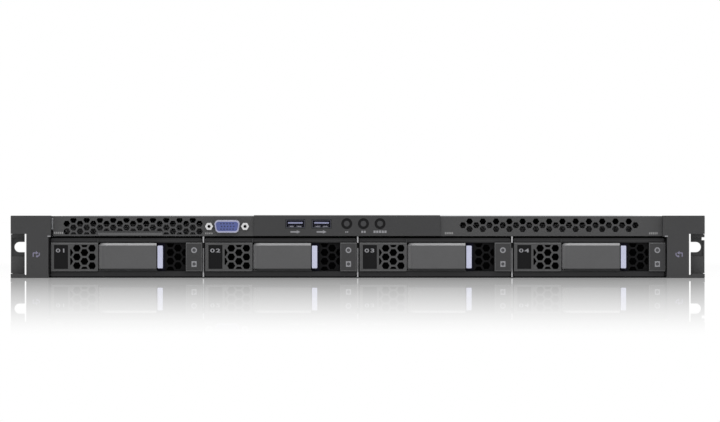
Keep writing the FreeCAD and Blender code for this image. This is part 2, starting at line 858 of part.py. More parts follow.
def left_vent():
    low = panel_low + vent_low_rim
    high = chassis_height - vent_top_rim
    area = zone(left_vent_left, left_vent_right, low, high)
    tag_top = tag_blade_low() + tag_blade + 3 * slip
    tag_area = zone(tag_middle - tag_width / 2, tag_middle + tag_width / 2, low, tag_top)
    return hexagon_vent(area.cut(tag_area).Faces[0], left_vent_left + left_vent_start,
                        panel_low + left_vent_rise, vent_pitch, vent_hole, -panel_reach, -panel_reach + sheet)


def right_vent():
    area = zone(right_vent_left, right_vent_right, panel_low + right_vent_low_rim, chassis_height - vent_top_rim)
    return hexagon_vent(area, right_vent_right - right_vent_start, panel_low + right_vent_rise, vent_pitch,
                        vent_hole, -panel_reach, -panel_reach + sheet, 0.7)


def pull_tag():
    half = tag_width / 2
    low = panel_low + tag_lip_rise
    lip_back = -panel_reach - slip
    lip = rounded_plate(tag_middle - half, tag_middle + half, lip_back - tag_lip, lip_back,
                        low, low + tag_lip_height, tag_lip_height / 4)
    blade_low = tag_blade_low()
    inner = half - tag_blade_inset
    blade = box(tag_middle - inner, tag_middle + inner, lip_back - tag_lip / 2, lip_back + tag_length,
                blade_low, blade_low + tag_blade)
    return fused(lip, blade)


def tag_guide():
    # A flat sleeve on the cage's shelf that holds the tag's blade.
    inner = tag_width / 2 - tag_blade_inset + slip
    front = -panel_reach + sheet
    low = tag_blade_low() - slip
    high = low + tag_blade + 2 * slip
    sleeve = box(tag_middle - inner - tag_guide_wall, tag_middle + inner + tag_guide_wall, front,
                 front + tag_guide_length, shelf_high, high + tag_guide_wall)
    return less(sleeve, box(tag_middle - inner, tag_middle + inner, front, front + tag_guide_length, low, high))


def control_panel():
    top = chassis_height + control_rise
    face = box(control_left, control_right, -control_reach, -panel_reach, panel_low + panel_gap, top)
    lip = box(control_left, control_right, -panel_reach, -control_reach + control_lip, chassis_height, top)
    whole = fused(face, lip)
    front_top = [e for e in whole.Edges
                 if abs(e.CenterOfMass.y + control_reach) < 1e-6 and abs(e.CenterOfMass.z - top) < 1e-6]
    whole = whole.makeFillet(min(control_corner, control_reach - panel_reach), front_top)
    cuts = []
    for x in usb_x:
        cuts.append(box(x - usb_width / 2 - slip, x + usb_width / 2 + slip, -control_reach, -panel_reach,
                        socket_height_z - usb_height / 2 - slip, socket_height_z + usb_height / 2 + slip))
    for x in button_x:
        face_point = Vector(x, -control_reach, button_height_z)
        step_point = Vector(x, -control_reach + button_well_depth, button_height_z)
        back_point = Vector(x, -panel_reach, button_height_z)
        cuts.append(rod(button_well_radius, face_point, step_point))
        cuts.append(rod(button_radius + button_gap, step_point, back_point))
    return less(whole, *cuts)


def button(x):
    z = button_height_z
    collar_front = -panel_reach + slip
    collar_back = collar_front + button_collar
    stem_end = control_board_front - switch_size / 2 - button_travel - slip
    cap = rod(button_radius, Vector(x, -control_reach + button_sink, z), Vector(x, collar_back, z))
    collar = rod(button_collar_radius, Vector(x, collar_front, z), Vector(x, collar_back, z))
    stem = rod(button_stem_radius, Vector(x, collar_back, z), Vector(x, stem_end, z))
    return fused(cap, collar, stem)


def control_board_plate():
    low = panel_low + control_board_low
    plate = box(control_board_left, control_board_right, control_board_front, control_board_back,
                low, low + control_board_height)
    switches = []
    for x in button_x:
        half = switch_size / 2
        switches.append(box(x - half, x + half, control_board_front - half, control_board_front,
                            button_height_z - half, button_height_z + half))
    return fused(plate, *switches)


def usb_socket(x, z, mouth, back, facing):
    # A socket whose mouth opens towards facing (-1 front, 1 rear), with its contact tongue inside.
    y0, y1 = min(mouth, back), max(mouth, back)
    shell = box(x - usb_width / 2, x + usb_width / 2, y0, y1, z - usb_height / 2, z + usb_height / 2)
    inner_back = back + facing * usb_wall
    hollow = box(x - usb_width / 2 + usb_wall, x + usb_width / 2 - usb_wall, min(mouth, inner_back),
                 max(mouth, inner_back), z - usb_height / 2 + usb_wall, z + usb_height / 2 - usb_wall)
    tip = mouth - facing * (abs(mouth - inner_back) - usb_tongue_length)
    tongue = box(x - usb_tongue_width / 2, x + usb_tongue_width / 2, min(tip, inner_back), max(tip, inner_back),
                 z + usb_tongue_lift - usb_tongue / 2, z + usb_tongue_lift + usb_tongue / 2)
    return [less(shell, hollow), tongue]


def front_usb_sockets():
    pieces = []
    for x in usb_x:
        pieces += usb_socket(x, socket_height_z, -control_reach - usb_proud, control_board_front, -1)
    return pieces


def vga_socket(x, z, face, mouth, back, facing):
    # A plate behind the panel's face, a D shell through the panel, and the insert that fills it.
    plate_back = face - facing * vga_flange
    plate = box(x - vga_flange_width / 2, x + vga_flange_width / 2, min(face, plate_back), max(face, plate_back),
                z - vga_flange_height / 2, z + vga_flange_height / 2)
    body = box(x - vga_width / 2, x + vga_width / 2, min(plate_back, back), max(plate_back, back),
               z - vga_flange_height / 2, z + vga_flange_height / 2)
    y0, y1 = min(face, mouth), max(face, mouth)
    shell = d_block(x, z, vga_width, vga_height, vga_corner, y0, y1)
    inner_mouth = mouth - facing * vga_sink
    hole_end = mouth + facing * vga_wall
    hollow = d_block(x, z, vga_width - 2 * vga_wall, vga_height - 2 * vga_wall, vga_corner - vga_wall,
                     min(face, hole_end), max(face, hole_end))
    insert = d_block(x, z, vga_width - 2 * vga_wall, vga_height - 2 * vga_wall, vga_corner - vga_wall,
                     min(face, inner_mouth), max(face, inner_mouth))
    bores = [rod(jackscrew_shank + running_gap, Vector(x + side * jackscrew_spread / 2, min(face, plate_back), z),
                 Vector(x + side * jackscrew_spread / 2, max(face, plate_back), z)) for side in (-1, 1)]
    return [less(fused(plate, body, shell), hollow, *bores), insert]


def front_vga_socket():
    return vga_socket(vga_x, vga_height_z, -panel_reach + sheet, -vga_reach, control_board_front, -1)


def jackscrew(x, z, face, shank_end, facing):
    seat = face
    head = hexagon(x, z, jackscrew_flats).extrude(Vector(0, facing * jackscrew_length, 0))
    head = moved(head, y=seat)
    shank = rod(jackscrew_shank, Vector(x, seat, z), Vector(x, shank_end, z))
    end = seat + facing * jackscrew_length
    bore = rod(jackscrew_bore, Vector(x, end, z), Vector(x, end - facing * jackscrew_length * 0.8, z))
    return less(fused(head, shank), bore)


def jackscrews():
    pieces = []
    for side in (-1, 1):
        offset = side * jackscrew_spread / 2
        pieces.append(jackscrew(vga_x + offset, vga_height_z, -panel_reach,
                                -panel_reach + sheet + vga_flange, -1))
        pieces.append(jackscrew(rear_vga_x + offset, board_top + rear_vga_rise, chassis_depth,
                                chassis_depth - sheet - vga_flange, 1))
    return pieces


# Rack ears

def rack_ear():
    # The left ear's steel flange with its leg along the chassis side.
    hidden = box(cover_outer + ear_edge, -chassis_half, -flange, 0, ear_edge, cover_height - ear_edge)
    shown = box(flange_outer, -chassis_half, -flange, 0, window_low + slip, window_high - slip)
    leg = box(-chassis_half - ear_leg, -chassis_half, -flange, ear_leg_length, ear_leg_rim,
              wall_top - ear_leg_rim)
    shoulder = slit_left - rack_slot_length + rack_slot_radius
    slot = fused(rod(rack_slot_radius, Vector(shoulder, -flange, rack_slot_height),
                     Vector(shoulder, 0, rack_slot_height)),
                 box(shoulder, slit_left, -flange, 0, rack_slot_height - rack_slot_radius,
                     rack_slot_height + rack_slot_radius))
    pocket = box(flange_outer + pocket_rim, slit_left, -flange, -flange + pocket_depth, pocket_low, pocket_high)
    holes = [rod(screw_shank_radius + running_gap, Vector(-chassis_half - ear_leg, y, z),
                 Vector(-chassis_half, y, z)) for y, z in ear_screws]
    return less(fused(hidden, shown, leg), ear_slit(-flange, 0), slot, pocket, *holes)


def ear_slit(y0, y1):
    # The slit between the flange's outer strip and the rest, with a round lower end.
    radius = slit_width / 2
    x = slit_left + radius
    low = slit_low + radius
    return fused(box(slit_left, slit_right, y0, y1, low, window_high),
                 rod(radius, Vector(x, y0, low), Vector(x, y1, low)))


def right_rack_ear():
    notch = box(-flange_outer - notch_depth, -flange_outer, -flange, 0, notch_low, notch_low + notch_height)
    return less(mirrored(rack_ear()), notch)


def ear_cover(overlap):
    # The left ear's plastic cover: a C round the flange's window, hollow behind.
    # Its upper block reaches past the chassis side by the overlap.
    inner = -chassis_half + cover_inner
    top_inner = -chassis_half + overlap
    shell = outline([(cover_outer, 0), (inner, 0), (inner, cover_step), (top_inner, cover_step),
                     (top_inner, cover_height), (cover_outer, cover_height), (cover_outer, window_high),
                     (slit_right, window_high), (slit_right, window_low), (cover_outer, window_low)],
                    -cover_reach, -flange)
    outer_corners = [e for e in edges_along(shell, Vector(0, 1, 0))
                     if abs(e.CenterOfMass.x - cover_outer) < 1e-6
                     and min(e.CenterOfMass.z, cover_height - e.CenterOfMass.z) < 1e-6]
    shell = shell.makeFillet(min(cover_corner, window_low / 2), outer_corners)
    wall_room = box(-chassis_half - slip, top_inner, -front_reach - slip, -flange, 0, cover_height)
    front = -cover_reach + cover_wall
    upper_hollow = box(cover_outer + cover_wall, -chassis_half - cover_wall, front, -flange,
                       window_high + cover_wall, cover_height - cover_wall)
    bar_hollow = box(slit_right + cover_wall, -chassis_half - cover_wall, front, -flange,
                     window_low + cover_wall, cover_height - cover_wall)
    return less(shell, wall_room, upper_hollow, bar_hollow, ear_slit(-cover_reach, -flange))


def screw(seat, outward):
    # A pan-head screw: the head on the seat, its shank the other way.
    head = rod(screw_head_radius, seat, seat + outward * screw_head)
    rim = [e for e in head.Edges if (e.CenterOfMass - seat).dot(outward) > screw_head / 2
           and len(e.Vertexes) == 1]
    head = head.makeChamfer(screw_head / 3, rim)
    return fused(head, rod(screw_shank_radius, seat, seat - outward * ear_leg))


def case_screws():
    pieces = []
    for y, z in ear_screws:
        for side in (-1, 1):
            pieces.append(screw(Vector(side * (chassis_half + ear_leg), y, z), Vector(side, 0, 0)))
    return pieces


def rail_studs():
    pieces = []
    for y in stud_places():
        for side in (-1, 1):
            root = Vector(side * chassis_half, y, stud_height)
            neck = Vector(side * (chassis_half + stud_length), y, stud_height)
            end = Vector(side * (chassis_half + stud_length + stud_head), y, stud_height)
            pieces.append(fused(rod(stud_radius, root, neck), rod(stud_head_radius, neck, end)))
    return pieces


# Cover and its latch

def top_cover():
    rear = chassis_depth + thin_sheet
    plate = box(-chassis_half, chassis_half, cover_front, rear, cover_low, chassis_height)
    lip = box(-chassis_half, chassis_half, chassis_depth + slip, rear + slip, cover_low - sheet, chassis_height)
    outer = chassis_half - sheet - slip
    flange_low = cover_low - cover_flange
    skirt = box(outer - thin_sheet, outer, cover_front + cover_flange_inset,
                chassis_depth - cover_flange_inset - cover_travel, flange_low, chassis_height)
    slots = []
    room = hook_radius + slip
    for y in hook_places():
        z = wall_top - hook_drop
        slots.append(box(outer - thin_sheet, outer, y - cover_travel - room, y + room, z - room, z + room))
        slots.append(box(outer - thin_sheet, outer, y - cover_travel - room, y - cover_travel + room,
                         flange_low, z))
    skirt = less(skirt, *slots)
    half = cup_width / 2
    opening = box(-half, half, cup_front, cup_front + cup_length, cover_low, chassis_height)
    return less(fused(plate, lip, skirt, mirrored(skirt)), opening)


def latch_hinge_point():
    return Vector(0, cup_front + latch_hinge_inset, chassis_height - latch_hinge_drop)


def cover_latch_cup():
    # A tub under the cover's opening, with a rim below the sheet.
    half = cup_width / 2 - slip
    front = cup_front + slip
    back = cup_front + cup_length - slip
    low = cover_low - cup_depth
    tub = box(-half, half, front, back, low, chassis_height)
    rim = box(-half - cup_rim, half + cup_rim, front - cup_rim, back + cup_rim, cover_low - cup_wall, cover_low)
    hollow = box(-half + cup_wall, half - cup_wall, front + cup_wall, back - cup_wall,
                 low + cup_wall, chassis_height)
    hinge = latch_hinge_point()
    bore = rod(latch_hinge_pin + running_gap, hinge - Vector(half - cup_wall / 3, 0, 0),
               hinge + Vector(half - cup_wall / 3, 0, 0))
    return less(fused(tub, rim), hollow, bore)


def cover_latch():
    # A flat handle that lies flush in the tub and turns about a pin at its front end.
    hinge = latch_hinge_point()
    half = latch_handle_width / 2
    top = chassis_height
    barrel = rod(latch_hinge_radius, hinge - Vector(half, 0, 0), hinge + Vector(half, 0, 0))
    end = hinge.y + latch_handle_length
    plate = box(-half, half, hinge.y, end, top - latch_handle, top)
    plate = plate.makeFillet(half / 2, [e for e in edges_along(plate, Vector(0, 0, 1))
                                        if e.CenterOfMass.y > end - 1])
    neck = box(-half, half, hinge.y, hinge.y + latch_hinge_radius, hinge.z, top - latch_handle / 2)
    skirt_low = top - latch_handle - latch_skirt
    skirts = [box(x, x + latch_skirt, hinge.y + latch_hinge_radius, end - half, skirt_low, top - latch_handle / 2)
              for x in (-half, half - latch_skirt)]
    reach = cup_width / 2 - slip - cup_wall / 2
    pin = rod(latch_hinge_pin, hinge - Vector(reach, 0, 0), hinge + Vector(reach, 0, 0))
    return fused(plate, neck, barrel, pin, *skirts)


# Inside

def drive_backplane():
    front = cage_rear + slip
    half = bays_half - backplane_inset
    plate = box(-half, half, front, front + backplane, sheet, sheet + backplane_height)
    plugs = []
    windows = []
    for bay in range(bay_count):
        x = bay_left(bay) + bay_pitch / 2
        low = drive_low + drive_plug_rise
        tip = drive_setback + drive_length - drive_plug_height + 2 * slip
        plugs.append(box(x - drive_plug_width / 2, x + drive_plug_width / 2, tip, front,
                         low, low + drive_plug_height))
        window_low_z = shelf_low - backplane_window_height
        windows.append(box(x - backplane_window_width / 2, x + backplane_window_width / 2, front,
                           front + backplane, window_low_z, window_low_z + backplane_window_height))
    return less(fused(plate, *plugs), *windows)


def fan_x(number):
    return (number - (fan_count - 1) / 2) * fan_spacing


def fan_frame(x):
    half = fan_size / 2
    rear = fan_front + fan_depth
    frame = rounded_plate(x - half, x + half, fan_front, rear, sheet, sheet + fan_size, fan_corner)
    middle = Vector(x, 0, fan_middle)
    bore = rod(fan_bore, middle + Vector(0, fan_front, 0), middle + Vector(0, rear, 0))
    stator = rod(fan_hub_radius, middle + Vector(0, rear - fan_stator, 0), middle + Vector(0, rear, 0))
    strut = fan_strut / 2
    struts = [box(x - half + fan_wall / 2, x + half - fan_wall / 2, rear - fan_stator / 2, rear,
                  fan_middle - strut, fan_middle + strut),
              box(x - strut, x + strut, rear - fan_stator / 2, rear,
                  sheet + fan_wall / 2, sheet + fan_size - fan_wall / 2)]
    shaft = rod(fan_shaft_radius + running_gap, middle + Vector(0, rear - fan_stator, 0),
                middle + Vector(0, rear, 0))
    return less(fused(less(frame, bore), stator, *struts), shaft)


def rotor(tip_radius, hub_radius, depth, shaft_length):
    # Hub, slanted blades and shaft about the Y axis, from y = 0 back.
    origin = Vector(0, 0, 0)
    back = Vector(0, depth, 0)
    hub = rod(hub_radius, origin, back)
    ring = less(rod(tip_radius, origin, back), rod(hub_radius - fan_blade, origin, back))
    plate = box(0, 2 * tip_radius, -2 * depth, 2 * depth, -fan_blade / 2, fan_blade / 2)
    plate.rotate(Vector(0, 0, 0), Vector(1, 0, 0), 90 - fan_blade_pitch)
    plate.translate(Vector(0, depth / 2, 0))
    blade = plate.common(ring).Solids[0]
    blades = []
    for number in range(fan_blades):
        copy = blade.copy()
        copy.rotate(origin, Vector(0, 1, 0), 360 * number / fan_blades)
        blades.append(copy)
    shaft = rod(fan_shaft_radius, back, back + Vector(0, shaft_length, 0))
    return fused(hub, shaft, *blades)


def fan_rotor(number):
    depth = fan_depth - fan_stator - 2 * fan_end_gap
    whole = rotor(fan_bore - fan_tip_gap, fan_hub_radius, depth, fan_shaft_length)
    return moved(whole, fan_x(number), fan_front + fan_end_gap, fan_middle)


def memory_places():
    return [bank + (slot - (memory_slots - 1) / 2) * memory_pitch
            for bank in memory_bank_x for slot in range(memory_slots)]


def motherboard():
    wide = box(board_left, -board_left, board_front, psu_front - board_rear_gap, board_low, board_top)
    narrow = box(board_left, board_right, board_front, board_rear, board_low, board_top)
    sockets = []
    for x in heatsink_x:
        half = heatsink_width / 3
        sockets.append(box(x - half, x + half, heatsink_y - half, heatsink_y + half,
                           board_top, board_top + socket_height))
    half = memory_length / 2 + memory_socket_over
    for x in memory_places():
        sockets.append(box(x - memory_socket_width / 2, x + memory_socket_width / 2, memory_y - half,
                           memory_y + half, board_top, board_top + memory_socket_height))
    return fused(wide, narrow, *sockets)


def cpu_heatsink(x):
    half = heatsink_width / 2
    y0, y1 = heatsink_y - heatsink_length / 2, heatsink_y + heatsink_length / 2
    low = board_top + socket_height
    base = box(x - half, x + half, y0, y1, low, low + heatsink_base)
    fins = []
    step = (heatsink_width - heatsink_fin) / (heatsink_fins - 1)
    for number in range(heatsink_fins):
        fin_left = x - half + number * step
        fins.append(box(fin_left, fin_left + heatsink_fin, y0, y1, low + heatsink_base, low + heatsink_height))
    return fused(base, *fins)


def memory_module(x):
    low = board_top + memory_socket_height
    return box(x - memory_board / 2, x + memory_board / 2, memory_y - memory_length / 2,
               memory_y + memory_length / 2, low, low + memory_height - memory_socket_height)


# Rear wall pieces

def network_socket(x):
    mouth = chassis_depth + socket_proud
    back = mouth - network_depth
    block = box(x - network_width / 2, x + network_width / 2, back, mouth, board_top, board_top + network_height)
    low = board_top + network_mouth_rise
    hollow = box(x - network_mouth_width / 2, x + network_mouth_width / 2, mouth - network_mouth_depth, mouth,
                 low, low + network_mouth_height)
    return less(block, hollow)


def rear_sockets():
    pieces = [network_socket(x) for x in network_x]
    for x in rear_usb_x:
        mouth = chassis_depth + socket_proud
        pieces += usb_socket(x, board_top + usb_height / 2, mouth, mouth - network_depth, 1)
    pieces += vga_socket(rear_vga_x, board_top + rear_vga_rise, chassis_depth - sheet,
                         chassis_depth + rear_vga_reach, chassis_depth - network_depth, 1)
    return pieces


def slot_cover(x):
    inner = chassis_depth - sheet
    half = slot_width / 2 + slot_cover_rim
    plate = box(x - half, x + half, inner - thin_sheet, inner, slot_low - slot_cover_rim,
                slot_low + slot_height + slot_cover_rim)
    vents = []
    step = slot_width / slot_vents
    low = slot_low + (slot_height - slot_vent_height) / 2
    for number in range(slot_vents):
        middle = x - slot_width / 2 + (number + 0.5) * step
        vents.append(box(middle - slot_vent_width / 2, middle + slot_vent_width / 2, inner - thin_sheet, inner,
                         low, low + slot_vent_height))
    return less(plate, *vents)


# Power supplies

def psu_fan_middle(left):
    return Vector(left + psu_fan_x, 0, (psu_low + psu_high) / 2)


def psu_inlet(left):
    # The mains inlet: a tub set in the rear wall, with three blades.
    x = left + inlet_x
    z = psu_low + inlet_rise
    mouth = chassis_depth
    tub = box(x - inlet_width / 2, x + inlet_width / 2, mouth - inlet_depth, mouth,
              z - inlet_height / 2, z + inlet_height / 2)
    hollow = box(x - inlet_width / 2 + inlet_wall, x + inlet_width / 2 - inlet_wall,
                 mouth - inlet_depth + inlet_wall, mouth, z - inlet_height / 2 + inlet_wall,
                 z + inlet_height / 2 - inlet_wall)
    blades = []
    for across, rise in ((-1, -0.4), (0, 0.4), (1, -0.4)):
        middle = x + across * inlet_pin_spread
        height = z + rise * inlet_pin_height
        blades.append(box(middle - inlet_pin_width / 2, middle + inlet_pin_width / 2,
                          mouth - inlet_depth + inlet_wall / 2, mouth - inlet_wall,
                          height - inlet_pin_height / 2, height + inlet_pin_height / 2))
    return fused(less(tub, hollow), *blades)


def psu_handle(left):
    # A loop that stands out of the rear wall beside the inlet.
    x0 = left + handle_x - handle_width / 2
    rear = chassis_depth
    low = psu_low + handle_low
    high = psu_low + handle_high
    whole = box(x0, x0 + handle_width, rear - psu_wall / 2, rear + handle_reach, low, high)
    ends = [e for e in edges_along(whole, Vector(1, 0, 0)) if e.CenterOfMass.y > rear]
    whole = whole.makeFillet(handle_corner, ends)
    gap = box(x0, x0 + handle_width, rear, rear + handle_reach - handle_bar, low + handle_bar, high - handle_bar)
    return less(whole, gap)


def psu_latch_slot(left):
    half = psu_latch_stem_width / 2 + slip
    x = left + psu_latch_x
    z = psu_low + psu_latch_rise
    rise = psu_latch_stem_height / 2 + slip
    return box(x - half - psu_latch_travel, x + half, chassis_depth - psu_wall, chassis_depth, z - rise, z + rise)


def psu_case(left):
    right = left + psu_width
    rear = chassis_depth
    outer = box(left, right, psu_front, rear, psu_low, psu_high)
    hollow = box(left + psu_wall, right - psu_wall, psu_front + psu_wall, rear - psu_wall,
                 psu_low + psu_wall, psu_high - psu_wall)
    middle = psu_fan_middle(left)
    ring_front = rear - psu_wall - psu_fan_depth
    ring = less(rod(psu_fan_bore + psu_fan_ring / 2, middle + Vector(0, ring_front, 0),
                    middle + Vector(0, rear - psu_wall, 0)),
                rod(psu_fan_bore, middle + Vector(0, ring_front, 0), middle + Vector(0, rear - psu_wall, 0)))
    half = psu_fan_bore
    vents = hexagon_vent(zone(middle.x - half, middle.x + half, middle.z - half, middle.z + half),
                         middle.x, middle.z, psu_vent_pitch, psu_vent_hole, rear - psu_wall, rear, 0.9)
    vents = [v for v in vents if fan_hole_fits(v.CenterOfMass - middle)]
    bearing = rod(fan_shaft_radius + running_gap, middle + Vector(0, rear - psu_wall, 0),
                  middle + Vector(0, rear, 0))
    inlet_hole = box(left + inlet_x - inlet_width / 2, left + inlet_x + inlet_width / 2, rear - psu_wall, rear,
                     psu_low + inlet_rise - inlet_height / 2, psu_low + inlet_rise + inlet_height / 2)
    edge = box(left + (psu_width - psu_edge_width) / 2, left + (psu_width + psu_edge_width) / 2,
               psu_front - psu_edge_length, psu_front + psu_wall / 2, psu_low + psu_edge_rise,
               psu_low + psu_edge_rise + control_board)
    shell = less(outer, hollow, inlet_hole, bearing, psu_latch_slot(left), *vents)
    return fused(shell, ring, psu_inlet(left), psu_handle(left), edge)


def fan_hole_fits(offset):
    # Holes stay inside the fan's circle and clear of the bearing in its middle.
    distance = math.hypot(offset.x, offset.z)
    return psu_vent_hole < distance < psu_fan_bore - psu_vent_hole / 2


def psu_rotor(left):
    depth = psu_fan_depth - 2 * fan_end_gap
    whole = rotor(psu_fan_bore - fan_tip_gap, fan_hub_radius, depth, fan_end_gap + psu_wall)
    middle = psu_fan_middle(left)
    return moved(whole, middle.x, chassis_depth - psu_wall - fan_end_gap - depth, middle.z)


def psu_latch(left):
    x = left + psu_latch_x
    z = psu_low + psu_latch_rise
    seat = chassis_depth + slip
    pad = rounded_plate(x - psu_latch_width / 2, x + psu_latch_width / 2, seat, seat + psu_latch_reach,
                        z - psu_latch_height / 2, z + psu_latch_height / 2, psu_latch_height / 5)
    stem = box(x - psu_latch_stem_width / 2, x + psu_latch_stem_width / 2,
               chassis_depth - psu_wall - psu_latch_stem, seat + psu_latch_reach / 2,
               z - psu_latch_stem_height / 2, z + psu_latch_stem_height / 2)
    return fused(pad, stem)


def main():
    os.makedirs("parts", exist_ok=True)
    save("chassis_tray", chassis_tray())
    save("rear_panel", rear_panel())
    save("drive_cage", drive_cage())
    for bay in range(bay_count):
        left = bay_left(bay)
        number = str(bay + 1)
        save("tray_bezel_" + number, tray_bezel(left), *light_pipes(left))
        save("tray_lever_" + number, tray_lever(left))
        save("lever_latch_" + number, lever_latch(left))
        save("tray_carrier_" + number, tray_carrier(left))
        save("hard_drive_" + number, hard_drive(left))
    save("front_panel", front_panel())
    save("pull_tag", pull_tag())
    save("tag_guide", tag_guide())
    save("control_panel", control_panel())
    save("control_board", control_board_plate())
    for name, x in zip(("power_button", "identify_button", "reset_button"), button_x):
        save(name, button(x))
    save("front_usb_sockets", *front_usb_sockets())
    save("front_vga_socket", *front_vga_socket())
    save("rack_ear_left", rack_ear())
    save("rack_ear_right", right_rack_ear())
    save("ear_cover_left", ear_cover(cover_top_inner))
    save("ear_cover_right", mirrored(ear_cover(right_cover_top_inner)))
    save("screws", *jackscrews(), *case_screws())
    save("rail_studs", *rail_studs())
    save("top_cover", top_cover())
    save("cover_latch_cup", cover_latch_cup())
    save("cover_latch", cover_latch())
    save("drive_backplane", drive_backplane())
    save("fan_frames", *[fan_frame(fan_x(number)) for number in range(fan_count)])
    for number in range(fan_count):
        save("fan_rotor_" + str(number + 1), fan_rotor(number))
    save("motherboard", motherboard())
    save("cpu_heatsinks", *[cpu_heatsink(x) for x in heatsink_x])
    save("memory_modules", *[memory_module(x) for x in memory_places()])
    save("rear_sockets", *rear_sockets())
    save("slot_covers", *[slot_cover(x) for x in slot_x])
    for unit in range(psu_count):
        left = psu_left(unit)
        number = str(unit + 1)
        save("psu_case_" + number, psu_case(left))
        save("psu_latch_" + number, psu_latch(left))
        save("psu_rotor_" + number, psu_rotor(left))


main()
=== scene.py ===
import bmesh
import bpy
import math
from mathutils import Matrix, Vector


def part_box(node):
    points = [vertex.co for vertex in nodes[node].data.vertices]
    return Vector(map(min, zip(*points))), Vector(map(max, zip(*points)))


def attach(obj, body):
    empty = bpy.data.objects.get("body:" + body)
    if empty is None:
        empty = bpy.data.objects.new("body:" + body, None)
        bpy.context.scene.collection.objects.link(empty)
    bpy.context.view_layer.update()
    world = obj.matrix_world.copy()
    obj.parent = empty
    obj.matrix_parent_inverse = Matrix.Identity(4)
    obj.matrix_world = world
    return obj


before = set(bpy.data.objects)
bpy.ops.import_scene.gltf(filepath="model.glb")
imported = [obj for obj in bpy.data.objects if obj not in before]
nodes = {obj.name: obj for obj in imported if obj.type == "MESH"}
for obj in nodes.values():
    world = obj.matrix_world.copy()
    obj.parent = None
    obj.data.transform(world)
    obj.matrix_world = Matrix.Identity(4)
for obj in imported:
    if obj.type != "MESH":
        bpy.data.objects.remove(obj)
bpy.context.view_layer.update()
mm = 0.001
bays = ("1", "2", "3", "4")
supplies = ("1", "2")
fans = ("1", "2", "3", "4", "5")
sides = (("left", -1), ("right", 1))
buttonNames = ("power_button", "identify_button", "reset_button")
print("frame loaded with", len(nodes), "nodes")


def addObject(name, data):
    item = bpy.data.objects.new(name, data)
    bpy.context.scene.collection.objects.link(item)
    return item


def nodeBox(name):  # lowest and highest corner of a node, in millimetres
    low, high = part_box(name)
    return low / mm, high / mm


def middle(name):
    low, high = nodeBox(name)
    return (low + high) / 2


bezelInset = 0.9  # from the left edge of a bay to its bezel


def bayLeft(bay):
    return nodeBox("tray_bezel_" + bay)[0].x - bezelInset


# Faces that prints and small pieces sit on
panelFace = nodeBox("front_panel")[0].y
controlFace = nodeBox("control_panel")[0].y
earFace = nodeBox("ear_cover_left")[0].y
rearFace = nodeBox("rear_panel")[1].y
coverTop = nodeBox("top_cover")[1].z
wallFace = nodeBox("chassis_tray")[1].x


# Shader maths

class Wire:  # one socket of a node tree; sums on it add Math nodes
    def __init__(self, tree, socket=None):
        self.tree = tree
        self.socket = socket

    def node(self, kind, settings, sockets, out=0):
        made = self.tree.nodes.new(kind)
        for name, value in settings.items():
            setattr(made, name, value)
        for name, value in sockets.items():
            if isinstance(value, Wire):
                self.tree.links.new(value.socket, made.inputs[name])
            else:
                made.inputs[name].default_value = value
        return Wire(self.tree, made.outputs[out]) if made.outputs else None

    def maths(self, operation, first, second):
        return self.node("ShaderNodeMath", {"operation": operation}, {0: first, 1: second})

    def __add__(self, other):
        return self.maths("ADD", self, other)

    __radd__ = __add__

    def __sub__(self, other):
        return self.maths("SUBTRACT", self, other)

    def __rsub__(self, other):
        return self.maths("SUBTRACT", other, self)

    def __mul__(self, other):
        return self.maths("MULTIPLY", self, other)

    __rmul__ = __mul__

    def __truediv__(self, other):
        return self.maths("DIVIDE", self, other)

    def __rtruediv__(self, other):
        return self.maths("DIVIDE", other, self)

    def __pow__(self, other):
        return self.maths("POWER", self, other)

    def __mod__(self, other):
        return self.maths("MODULO", self, other)

    def clamped(self, low=0.0, high=1.0):
        return self.maths("MINIMUM", self.maths("MAXIMUM", self, low), high)

    def colour(self, first, second):  # first where the value is 0, second where it is 1
        return self.node("ShaderNodeMix", {"data_type": "RGBA"}, {0: self, 6: first, 7: second}, 2)


def scaled(colour, share):
    return tuple(min(1.0, value * share) for value in colour) + (1.0,)


def shades(tone, colour, spread):  # the colour, darker where the tone is 0 and lighter where it is 1
    return tone.clamped().colour(scaled(colour, 1 - spread), scaled(colour, 1 + spread))


def newFinish(name, look):
    paint = bpy.data.materials.new(name)
    paint.use_nodes = True
    shader = paint.node_tree.nodes["Principled BSDF"]
    shader.inputs["Metallic"].default_value = look["metal"]
    shader.inputs["Specular IOR Level"].default_value = look["gloss"]
    coords = Wire(paint.node_tree).node("ShaderNodeTexCoord", {}, {}, "Object")
    return paint, shader, coords


def feed(shader, socket, wire):
    wire.tree.links.new(wire.socket, shader.inputs[socket])


def feedBump(shader, height, strength, depth):  # depth in millimetres
    sockets = {"Height": height, "Strength": strength, "Distance": depth * mm}
    feed(shader, "Normal", height.node("ShaderNodeBump", {}, sockets))


def noise(coords, size, detail=2.0):  # size of its patches in millimetres
    sockets = {"Vector": coords, "Scale": 1 / (size * mm), "Detail": detail}
    return coords.node("ShaderNodeTexNoise", {}, sockets)


def cells(coords, size, out):
    return coords.node("ShaderNodeTexVoronoi", {}, {"Vector": coords, "Scale": 1 / (size * mm)}, out)


def stretched(coords, shares):
    return coords.node("ShaderNodeVectorMath", {"operation": "MULTIPLY"}, {0: coords, 1: shares})


def along(coords, axis):  # one coordinate in millimetres
    return coords.node("ShaderNodeSeparateXYZ", {}, {"Vector": coords}, axis) / mm


# Plastic, paint and fine metal: a fine grain, broad drift of tone, matching roughness and bump;
# a look with a lit colour, which is painted light, has it where its mask is 1
moulded = {"grain": 0.5, "speck": 0.3, "rough": 0.45, "bump": 0.1, "gloss": 0.3, "metal": 0.0, "patch": 14.0,
           "drift": 0.12, "spread": 0.6, "roughGrain": 0.15, "roughDrift": 0.08, "roughSpan": (0.05, 1.0),
           "grainDetail": 3.0, "grainDepth": 0.25}


